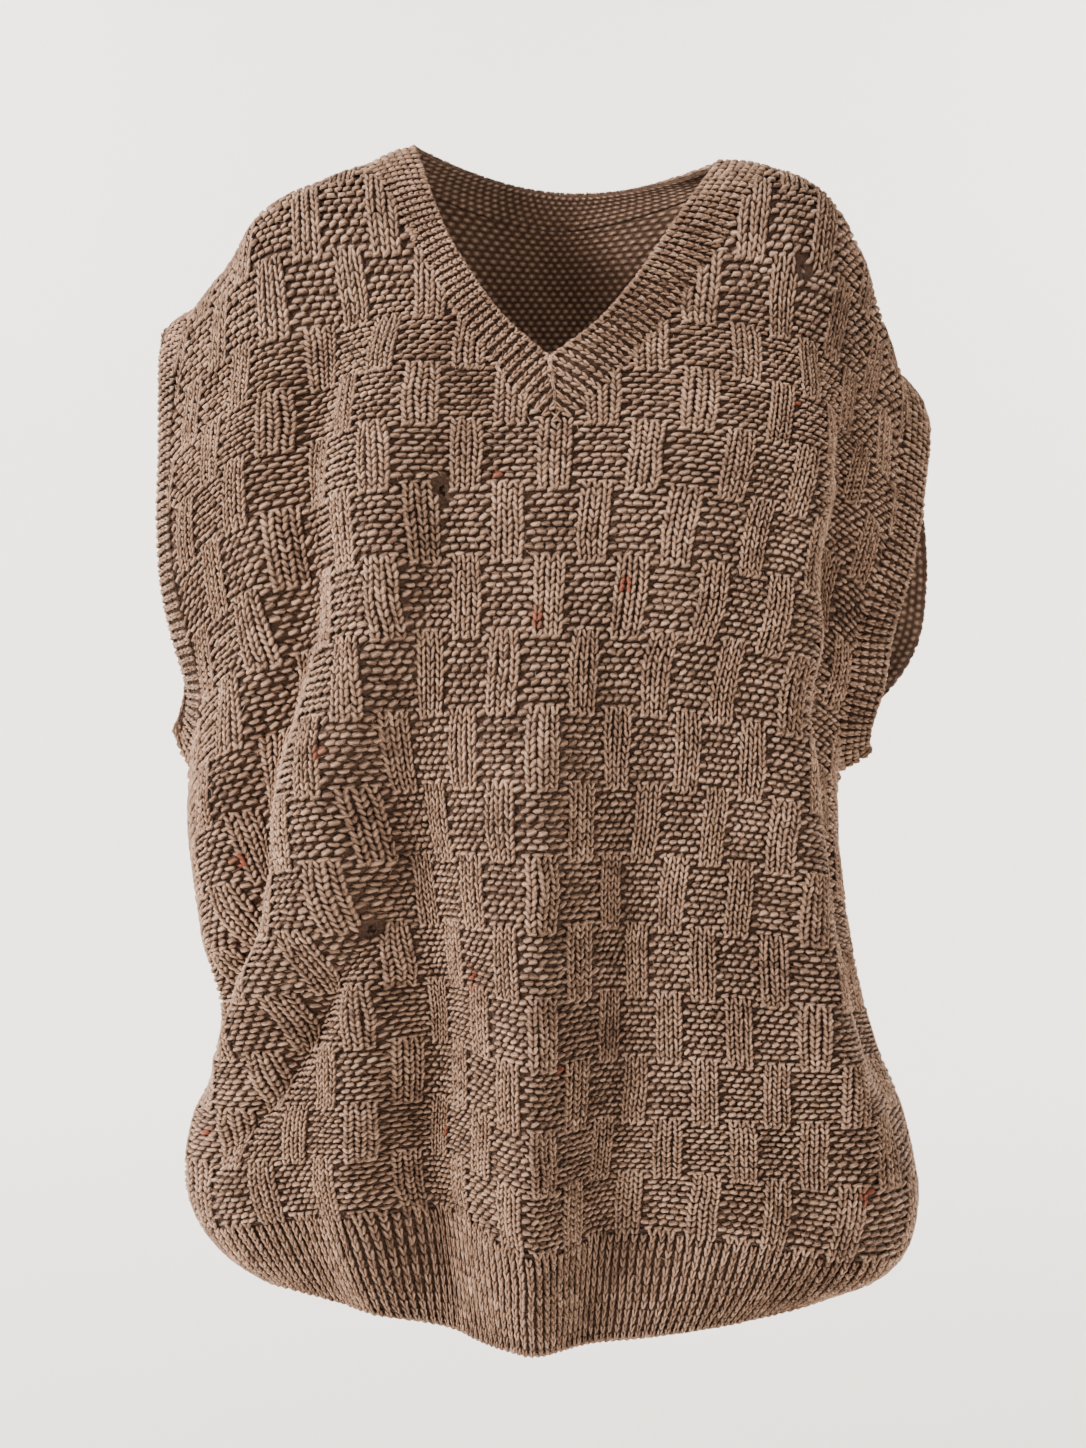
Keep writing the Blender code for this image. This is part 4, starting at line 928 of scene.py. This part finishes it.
# ---- stitches ------------------------------------------------------------------------------------
def stitch_columns():
    """A panel's columns. The outermost ones stand a little in from the side seams."""
    columns = np.arange(-SIDE_STITCH, SIDE_STITCH + 1.0)
    columns[[0, -1]] += (SEAM_IN, -SEAM_IN)
    return columns


def panel_stitches(back):
    """Every stitch of a panel: its column and its row."""
    columns, rows = every(stitch_columns(), np.arange(0, NECK_ROW + 0.0))
    beside_armhole = np.abs(columns) <= armhole_stitch(rows + 0.5) - ARMHOLE_IN
    inside = beside_armhole & (rows + TOP_IN < top_row(columns, back))
    return columns[inside], rows[inside]


def uneven_yarn(cloth, columns, rows, scale, ways, spread, seed, painted_light_shift=0.0, lift=0.0, shape=None):
    """Lays a length of yarn for each stitch and each way it is laid, all of them a little uneven. A
    way has a form, its stitches and rows from the stitch's foot, and its heading in degrees."""
    rng = np.random.default_rng(seed)

    def uneven(kind):
        return rng.normal(0, spread[kind], len(columns)) if kind in spread else 0.0

    stray_x, stray_y, patches = (
        far * soft_noise(columns / wide, rows / tall, seed + n)
        for n, (far, wide, tall) in enumerate((STRAY_ACROSS, STRAY_UP, SOFT_TONE))
    )
    tone = np.clip(0.5 + patches + rng.normal(0, STITCH_TONE, len(columns)), 0, 1)
    made = []
    for form, off_centre, up, tilt in ways:
        heading = np.radians(tilt) + uneven("turn")
        size = 1 + uneven("size")
        across = columns + off_centre + stray_x + uneven("across")
        along_it = rows + up + stray_y + uneven("up")
        high = lift + uneven("high")
        # painted_light_shift draws the ridges' yarn lighter and the hollows' yarn darker: painted light
        # and painted shade.
        shade = tone + painted_light_shift + uneven("shade")
        made.append(strewn(cloth, scale, across, along_it, heading, form, shade, high, size, shape))
    return made


def legs(cloth, columns, rows, scale, form, stance, seed, lift=0.0, shape=None):
    """Both legs of knit stitches, leaning in to the column's foot."""
    off_centre, lean = stance
    ways = [(form, side * off_centre, LEG_UP, -side * lean) for side in (-1, 1)]
    return uneven_yarn(cloth, columns, rows, scale, ways, LEG_SPREAD, seed, lift=lift, shape=shape)


def edge_links(cloth, across, along_it, scale, seed, lift=0.0):
    """A chain of links along an edge, each one leaning over the next."""
    rng = np.random.default_rng(seed)
    lean = LINK_LEAN * (-1.0) ** np.arange(len(across))
    heading = np.radians(90) + lean + rng.normal(0, LINK_SPREAD["turn"], len(across))
    shade = 0.5 + rng.normal(0, LINK_SPREAD["shade"], len(across))
    return [strewn(cloth, scale, across, np.full_like(across, along_it), heading, EDGE_LINK, shade, lift)]


def strip_place(stitch, row):
    """Where a stitch lies in its raised strip: stitches from the strip's middle, share of its height,
    and whether it belongs to one. A strip's top row reaches over the next course's first."""
    inside, off, share = (np.zeros(len(stitch), dtype) for dtype in (bool, float, float))
    for number in (np.floor(row / COURSE_ROWS), np.floor((row - 0.5) / COURSE_ROWS)):
        shift = np.where(number % 2 == 0, REPEAT_STITCHES / 2, 0)
        own = np.mod(stitch + shift + REPEAT_STITCHES / 2, REPEAT_STITCHES) - REPEAT_STITCHES / 2
        hit = np.abs(own) <= STRIP_HALF
        off = np.where(hit, own, off)
        share = np.where(hit, (row - number * COURSE_ROWS + 0.5) / (COURSE_ROWS + 1), share)
        inside |= hit
    return off, share, inside


def knit_panel(name, cloth, back):
    """A panel's pieces of stitches: the raised strips, the ridges and what lies deep between."""
    columns, rows = panel_stitches(back)
    off, share, strip = strip_place(columns, rows)
    ridge = ~strip & np.isin(np.mod(rows, COURSE_ROWS), RIDGE_ROWS)
    deep = ~strip & ~ridge
    scale, seed, shape = (STITCH, ROW), SEEDS[name], YARN_SLIM if back else YARN_LEG
    bulge = np.sqrt(np.sin(np.pi * np.clip(share, *STRIP_ENDS)))
    lift = (STRIP_LIFT + STRIP_PUFF * (1 - (off / 2) ** 2) * bulge)[strip]
    spread = (columns + off * STRIP_SPREAD * (2 * bulge - 1))[strip]
    strips = legs(cloth, spread, rows[strip], scale, KNIT_LEG, PLAIN_STANCE, seed, lift, shape)
    # The ridges' yarn is drawn a little lighter: painted light.
    between = uneven_yarn(
        cloth, columns[ridge], rows[ridge], scale, BUMPS, BUMP_SPREAD, seed + 5, RIDGE_PAINTED_LIGHT, shape=shape
    )
    # The sunk yarn between the ridges is drawn darker: painted shade for its hollow.
    low = uneven_yarn(
        cloth, columns[deep], rows[deep], scale, LOOPS, DEEP_SPREAD, seed + 9, -DEEP_PAINTED_SHADE, shape=YARN_BIT
    )
    return [
        joined(name + ending, groups)
        for ending, groups in (("_strips", strips), ("_ridges", between), ("_hollows", low))
    ]


def knit_hem(name, cloth):
    """The hem rib's knit columns and the cast-on edge below them."""
    columns, rows = every(stitch_columns(), np.arange(-RIB_ROWS, 0.0))
    seed = SEEDS[name]
    made = legs(cloth, columns, rows, (STITCH, ROW), HEM_LEG, HEM_STANCE, seed)
    links = np.arange(-SIDE_STITCH, SIDE_STITCH + HEM_LINK, HEM_LINK)
    made += edge_links(cloth, links, -RIB_ROWS + EDGE_IN, (STITCH, ROW), seed + 3)
    return joined(name + "_stitches", made)


def knit_band(name, cloth, ribs, band_rows, width, rib_length):
    """A band's knit columns, its cast-off edge and its fibres. Short ribs have fewer rows."""
    columns, rows = every(np.arange(ribs) + 0.5, np.arange(band_rows + 0.0))
    length = rib_length(columns)
    kept = rows + RIB_END < band_rows * length
    columns, rows, length = columns[kept], rows[kept], length[kept]
    scale = (band_run(cloth, band_rows) / ribs, width / band_rows)
    stretched = (rows + LEG_UP) / length - LEG_UP
    own_scale = (scale[0], scale[1] * length)
    seed = SEEDS[name]
    made = legs(cloth, columns, stretched, own_scale, BAND_LEG, BAND_STANCE, seed)
    links = np.arange(0, ribs, BAND_LINK)
    lift = np.where(rib_length(links) < 1, MITRE_LIFT, 0.0)
    made += edge_links(cloth, links, band_rows - EDGE_IN, scale, seed + 3, lift)
    rng = np.random.default_rng(seed + 4)
    count = int(ribs * scale[0] * band_rows * scale[1] / CM**2 * FUZZ_PER_CM2)
    places = rng.uniform(0, ribs, count), rng.uniform(0, band_rows, count)
    hairs = fuzz(name + "_fuzz", cloth, places, scale, seed + 4)
    return [joined(name + "_stitches", made), hairs]


def fuzz(name, cloth, places, scale, seed):
    """Fine fibres at flat places, lying every way with both ends in the air."""
    rng = np.random.default_rng(seed)
    count = len(places[0])
    heading = rng.uniform(0, math.pi, count)
    shade = rng.uniform(*FUZZ_SHADE, count)
    lift = rng.uniform(*FUZZ_LIFT_MM, count) * MM
    size = rng.uniform(*FUZZ_SIZE, count)
    return joined(name, [strewn(cloth, scale, *places, heading, FUZZ, shade, lift, size, FIBRE)])


def panel_fuzz(name, cloth, back):
    """Fibres over a panel and its hem rib."""
    rng = np.random.default_rng(SEEDS[name])
    count = int(2 * SIDE_STITCH * STITCH * (NECK_ROW + RIB_ROWS) * ROW / CM**2 * FUZZ_PER_CM2)
    across = rng.uniform(-SIDE_STITCH, SIDE_STITCH, count)
    along_it = rng.uniform(-RIB_ROWS, NECK_ROW, count)
    beside_armhole = np.abs(across) < armhole_stitch(along_it) - FUZZ_MARGIN
    inside = beside_armhole & (along_it < top_row(across, back) - FUZZ_MARGIN)
    return fuzz(name, cloth, (across[inside], along_it[inside]), (STITCH, ROW), PANEL_FIBRES)


# ---- shells --------------------------------------------------------------------------------------
def shell(name, cloth, counts, to_flat, holes=()):
    """The cloth itself: a thin closed wall just under the stitches."""
    deselect_all()
    bpy.ops.mesh.primitive_grid_add(x_subdivisions=counts[0], y_subdivisions=counts[1], size=2)
    wall = bpy.context.active_object
    wall.name = wall.data.name = name
    mesh = wall.data
    across, along_it = to_flat(np.array([v.co[:2] for v in mesh.vertices]))
    uv = mesh.uv_layers.active or mesh.uv_layers.new(name="knit")
    uv.name = "knit"
    corner = np.array([loop.vertex_index for loop in mesh.loops])
    uv.data.foreach_set("uv", np.stack([across, along_it], axis=-1)[corner].astype(np.float32).ravel())
    points = lay(cloth, across, along_it, np.full_like(across, -SHELL_SINK))
    mesh.vertices.foreach_set("co", points.astype(np.float32).ravel())
    mesh.update()
    bpy.ops.object.mode_set(mode="EDIT")
    bpy.ops.mesh.select_all(action="SELECT")
    bpy.ops.mesh.remove_doubles(threshold=WELD)
    bpy.ops.object.mode_set(mode="OBJECT")
    face = mesh.polygons[len(mesh.polygons) // 2]
    flat = np.mean([mesh.uv_layers["knit"].data[i].uv[:] for i in face.loop_indices], axis=0)
    if np.dot(np.array(face.normal[:]), outside(cloth, *flat)) < 0:
        mesh.flip_normals()
    thickness = wall.modifiers.new("wall", "SOLIDIFY")
    thickness.thickness = SHELL_WALL
    thickness.offset = -1
    bpy.ops.object.modifier_apply(modifier=thickness.name)
    inside = (np.arange(len(mesh.vertices)) >= len(mesh.vertices) // 2).astype(np.float32)
    mesh.attributes.new("inside", "FLOAT", "POINT").data.foreach_set("value", inside)
    for hole in holes:
        cut_hole(wall, cloth, *hole)
    return finished(wall, BACKING)


def outside(cloth, stitch, row):
    """Direction square off a cloth at one flat place."""
    base, off = (lay(cloth, *(np.array([n]) for n in (stitch, row, high)))[0] for high in (0.0, 1.0))
    return off - base


def cut_hole(wall, cloth, stitch, row, wide, tall):
    """Cuts a round hole through a shell, square to the cloth."""
    middle = Vector(lay(cloth, np.array([stitch]), np.array([row]), np.array([0.0]))[0])
    deselect_all()
    bpy.ops.mesh.primitive_cylinder_add(vertices=HOLE_SIDES, radius=0.5, depth=HOLE_CUT, location=middle)
    cutter = bpy.context.active_object
    cutter.scale = (wide * STITCH, tall * ROW, 1)
    cutter.rotation_euler = Vector(outside(cloth, stitch, row)).to_track_quat("Z", "Y").to_euler()
    hole = wall.modifiers.new("hole", "BOOLEAN")
    hole.operation = "DIFFERENCE"
    hole.object = cutter
    deselect_all()
    wall.select_set(True)
    bpy.context.view_layer.objects.active = wall
    bpy.ops.object.modifier_apply(modifier=hole.name)
    bpy.data.objects.remove(cutter)


def panel_flat(back):
    """Draws a square grid in to a panel's outline."""

    def to_flat(square):
        rows = np.round((square[:, 1] + 1) / 2 * NECK_ROW, 3)
        stitches = np.round(square[:, 0] * SIDE_STITCH, 3)
        edge = armhole_stitch(rows)
        stitches = np.clip(stitches, -edge, edge)
        return stitches, np.minimum(rows, top_row(stitches, back))

    return to_flat


def hem_flat(square):
    return square[:, 0] * SIDE_STITCH, (square[:, 1] - 1) / 2 * RIB_ROWS


def band_flat(ribs, band_rows):
    def to_flat(square):
        return (square[:, 0] + 1) / 2 * ribs, (square[:, 1] + 1) / 2 * band_rows

    return to_flat


# ---- materials -----------------------------------------------------------------------------------
def feed(tree, socket, value):
    """Gives an input a number or a colour, or links it to another node's output."""
    if isinstance(value, bpy.types.NodeSocket):
        tree.links.new(value, socket)
    else:
        socket.default_value = value


def fill(tree, made, values):
    """Feeds a node's inputs by name, with _ for each space."""
    for name, value in values.items():
        feed(tree, made.inputs[name.replace("_", " ")], value)


def node(tree, kind, **values):
    """A new node: its properties, which come first, and its inputs, which have a leading capital."""
    made = tree.nodes.new(kind)
    for name, value in values.items():
        if name[0].isupper():
            fill(tree, made, {name: value})
        else:
            setattr(made, name, value)
    return made


def maths(tree, operation, *values, clamp=False):
    """The output of a maths node on numbers or other outputs."""
    made = node(tree, "ShaderNodeMath", operation=operation, use_clamp=clamp)
    for socket, value in zip(made.inputs, values):
        feed(tree, socket, value)
    return made.outputs[0]


def weighted(tree, value, weight, rest):
    return maths(tree, "MULTIPLY_ADD", value, weight, rest)


def noise(tree, place, scale, detail, roughness):
    values = dict(Vector=place, Scale=scale, Detail=detail, Roughness=roughness)
    return node(tree, "ShaderNodeTexNoise", **values).outputs["Fac"]


def ranged(tree, value, **limits):
    """A value's share of the way from one limit to the other."""
    return node(tree, "ShaderNodeMapRange", Value=value, **limits).outputs["Result"]


def mixed(tree, share, first, second):
    values = dict(Factor=share, A=first, B=second)
    return node(tree, "ShaderNodeMix", data_type="RGBA", **values).outputs["Result"]


def attribute(tree, name, output):
    return node(tree, "ShaderNodeAttribute", attribute_name=name).outputs[output]


def own_place(tree):
    return node(tree, "ShaderNodeTexCoord").outputs["Object"]


def marled_group():
    """Shared yarn: brown and grey fibres spun together. Takes a place in millimetres, x and z across
    the yarn and y along it, and gives streaks that follow the twist."""
    group = bpy.data.node_groups.new("marled yarn", "ShaderNodeTree")
    for in_out, kind, names in (
        ("INPUT", "Color", ("Light", "Middle", "Dark")),
        ("INPUT", "Float", ("Shade", "Stain")),
        ("INPUT", "Vector", ("Place",)),
        ("OUTPUT", "Color", ("Color",)),
        ("OUTPUT", "Float", ("Roughness", "Height")),
    ):
        for name in names:
            group.interface.new_socket(name, in_out=in_out, socket_type="NodeSocket" + kind)
    given = group.nodes.new("NodeGroupInput").outputs
    result = group.nodes.new("NodeGroupOutput")

    turn = (0, 0, math.radians(YARN_TWIST_DEG))
    twist = node(group, "ShaderNodeMapping", Vector=given["Place"], Rotation=turn, Scale=YARN_STREAK)
    streaks = noise(group, twist.outputs["Vector"], *STREAKS)
    fibres = noise(group, own_place(group), *FIBRES)
    blotches = noise(group, own_place(group), *BLOTCHES)
    total = TONE_START
    causes = dict(shade=given["Shade"], streaks=streaks, blotches=blotches, fibres=fibres)
    for cause, value in causes.items():
        total = weighted(group, value, TONE_WEIGHTS[cause], total)
    low = ranged(group, total, From_Min=0.0, From_Max=0.5)
    high = ranged(group, total, From_Min=0.5, From_Max=1.0)
    dark = mixed(group, low, given["Dark"], given["Middle"])
    wool_colour = mixed(group, high, dark, given["Light"])

    # Rust only takes on part of the fibres.
    uneven = ranged(group, streaks, From_Min=RUST_TAKEN[0], From_Max=RUST_TAKEN[1])
    taken = maths(group, "MULTIPLY", uneven, given["Stain"], clamp=True)
    fill(group, result, dict(
        Color=mixed(group, taken, wool_colour, RUST),
        Roughness=ranged(group, fibres, To_Min=ROUGHNESS[0], To_Max=ROUGHNESS[1]),
        Height=weighted(group, fibres, FIBRE_RELIEF, streaks),
    ))
    return group


def new_material(name, **values):
    """A material, its node tree and its shader; the values go to the shader's inputs."""
    material = bpy.data.materials.new(name)
    material.use_nodes = True
    shader = material.node_tree.nodes["Principled BSDF"]
    fill(material.node_tree, shader, values)
    return material, material.node_tree, shader


def wool(name, group, relief):
    """A wool material on the shared yarn, with its tree, its yarn and its bump still to be fed."""
    sheen = dict(Sheen_Weight=0.06, Sheen_Roughness=0.6, Sheen_Tint=(0.85, 0.75, 0.68, 1))
    material, tree, shader = new_material(name, Specular_IOR_Level=0.2, **sheen)
    yarn = node(tree, "ShaderNodeGroup", node_tree=group, Light=LIGHT, Middle=MIDDLE, Dark=DARK)
    bump = node(tree, "ShaderNodeBump", Strength=relief, Distance=RELIEF_DEPTH)
    colour, rough, normal = yarn.outputs["Color"], yarn.outputs["Roughness"], bump.outputs["Normal"]
    fill(tree, shader, dict(Base_Color=colour, Roughness=rough, Normal=normal))
    return material, tree, yarn, bump


def yarn_material(name, group):
    material, tree, yarn, bump = wool(name, group, YARN_RELIEF)
    shade, stain = (attribute(tree, own, "Fac") for own in ("shade", "stain"))
    fill(tree, yarn, dict(Shade=shade, Stain=stain, Place=attribute(tree, "in_yarn", "Vector")))
    fill(tree, bump, dict(Height=yarn.outputs["Height"]))
    return material


def backing_material(name, group):
    """The purl side of the cloth: rows of small bumps, each half a stitch on from the row below."""
    material, tree, yarn, bump = wool(name, group, BACKING_RELIEF)
    flat = node(tree, "ShaderNodeSeparateXYZ", Vector=attribute(tree, "knit", "Vector")).outputs
    shifted = weighted(tree, maths(tree, "FLOOR", flat["Y"]), 0.5, flat["X"])
    in_row = maths(tree, "FRACT", flat["Y"])
    across, up = (
        maths(tree, "SINE", weighted(tree, value, turns, 0.0))
        for value, turns in ((shifted, 2 * math.pi), (in_row, math.pi))
    )
    high = maths(tree, "MULTIPLY", weighted(tree, across, *PURL_ROUND), up)
    # Painted light and shade: a bump's top is drawn lighter, the low places between bumps darker.
    shade = weighted(tree, high, *PURL_PAINTED_SHADE)
    inside = attribute(tree, "inside", "Fac")
    place = node(tree, "ShaderNodeVectorMath", operation="SCALE", Vector=own_place(tree), Scale=1 / MM)
    # Painted shade: the outer face, seen only in the gaps between stitches, gets no lightness and is drawn
    # in the darkest tone.
    painted_shade_by_face = maths(tree, "MULTIPLY", shade, inside, clamp=True)
    fill(tree, yarn, dict(Shade=painted_shade_by_face, Place=place.outputs["Vector"]))
    fill(tree, bump, dict(Height=weighted(tree, high, PURL_RELIEF, yarn.outputs["Height"])))
    return material


def paper_material(name, colour):
    """Pale paper, very slightly uneven."""
    material, tree, shader = new_material(name, Roughness=0.9, Specular_IOR_Level=0.1)
    uneven = noise(tree, own_place(tree), *PAPER_UNEVEN)
    shaded = (*(PAPER_SHADED * c for c in colour), 1)
    fill(tree, shader, dict(Base_Color=mixed(tree, uneven, (*colour, 1), shaded)))
    return material


# ---- stage, lights and camera --------------------------------------------------------------------
def studio_floor():
    """A round pale floor that curves up into a wall on all sides."""
    deselect_all()
    middle = (0, 0, FLOOR_Z + WALL_HEIGHT / 2)
    size = dict(radius=FLOOR_RADIUS, depth=WALL_HEIGHT)
    bpy.ops.mesh.primitive_cylinder_add(vertices=96, location=middle, **size)
    floor = bpy.context.active_object
    floor.name = floor.data.name = "studio_floor"
    bpy.ops.object.transform_apply(location=True)
    pick_faces(floor, lambda face: face.normal.z > 0.9)
    bpy.ops.mesh.delete(type="FACE")
    bpy.ops.object.mode_set(mode="OBJECT")
    pick_faces(floor, lambda face: face.normal.z < -0.9)
    bpy.ops.mesh.bevel(offset=COVE_RADIUS, segments=14, profile=0.5)
    bpy.ops.mesh.select_all(action="SELECT")
    bpy.ops.mesh.flip_normals()
    bpy.ops.object.mode_set(mode="OBJECT")
    floor.data.shade_smooth()
    floor.data.materials.append(paper_material("paper", FLOOR_COLOUR))
    return floor


def pick_faces(thing, test):
    """Opens a piece in edit mode with only the faces that pass a test selected."""
    bpy.ops.object.mode_set(mode="EDIT")
    bpy.ops.mesh.select_mode(type="FACE")
    bpy.ops.mesh.select_all(action="DESELECT")
    bpy.ops.object.mode_set(mode="OBJECT")
    for face in thing.data.polygons:
        face.select = bool(test(face))
    bpy.ops.object.mode_set(mode="EDIT")


def placed(name, data, place, turn):
    """A lamp or camera at its place."""
    thing = bpy.data.objects.new(name, data)
    bpy.context.scene.collection.objects.link(thing)
    thing.location = place
    thing.rotation_euler = turn
    return thing


def area_light(name, place, target, size, power, colour):
    """A square lamp that points at a target."""
    data = bpy.data.lights.new(name, "AREA")
    data.shape = "RECTANGLE"
    data.size = data.size_y = size
    data.energy = power
    data.color = colour
    heading = Vector(target) - Vector(place)
    placed(name, data, place, heading.to_track_quat("-Z", "Y").to_euler())


def world_light(colour, strength):
    world = bpy.data.worlds.new("studio")
    world.use_nodes = True
    background = world.node_tree.nodes["Background"]
    fill(world.node_tree, background, dict(Color=(*colour, 1), Strength=strength))
    bpy.context.scene.world = world


def camera():
    data = bpy.data.cameras.new("camera")
    data.sensor_width = 36.0
    data.lens = data.sensor_width * CAMERA_FOCAL_PX / IMAGE_HEIGHT_PX
    level = (math.radians(90), 0, 0)
    bpy.context.scene.camera = placed("camera", data, CAMERA_PLACE, level)


# ---- the vest ------------------------------------------------------------------------------------
def stand_for(node_name):
    """Hides the solid whose place a shell takes."""
    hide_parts(node_name)


def dress_panel(name, cloth, back):
    pieces = knit_panel(name, cloth, back) + [panel_fuzz(name + "_fuzz", cloth, back)]
    holes = HOLES if cloth["worn"] else ()
    wall = shell(name + "_cloth", cloth, PANEL_GRID, panel_flat(back), holes)
    area = len(panel_stitches(back)[0]) * STITCH * ROW
    stand_for(name)

    rib = "hem_rib_" + name
    stitches = knit_hem(rib, cloth)
    wall = shell(rib + "_cloth", cloth, (SIDE_STITCH * 2, 3), hem_flat)
    stand_for(rib)


def dress_band(name, band, band_rows, width, rib_length):
    cloth, ribs = band
    pieces = knit_band(name, cloth, ribs, band_rows, width, rib_length)
    wall = shell(name + "_cloth", cloth, (ribs, band_rows), band_flat(ribs, band_rows))
    stand_for(name)


camera()
YARN_LEG = yarn_shape(4, 3)
YARN_SLIM = yarn_shape(3, 3)
YARN_BIT = yarn_shape(4, 2)
FIBRE = yarn_shape(3, 2)
MARL = marled_group()
YARN = yarn_material("yarn", MARL)
BACKING = backing_material("yarn_backing", MARL)
front_cloth, back_cloth = sampled_panels()
dress_panel("front", front_cloth, False)
dress_panel("back", back_cloth, True)
dress_band("neckband", neck_cloth(), NECKBAND_ROWS, NECKBAND_WIDTH, neck_rib_length)
for name, side in (("armhole_band_left", -1), ("armhole_band_right", 1)):
    dress_band(name, armhole_cloth(side), ARMHOLE_ROWS, ARMHOLE_BAND_WIDTH, full_length)

studio_floor()
for light in LIGHTS:
    area_light(*light)
world_light(WORLD_COLOUR, WORLD_STRENGTH)
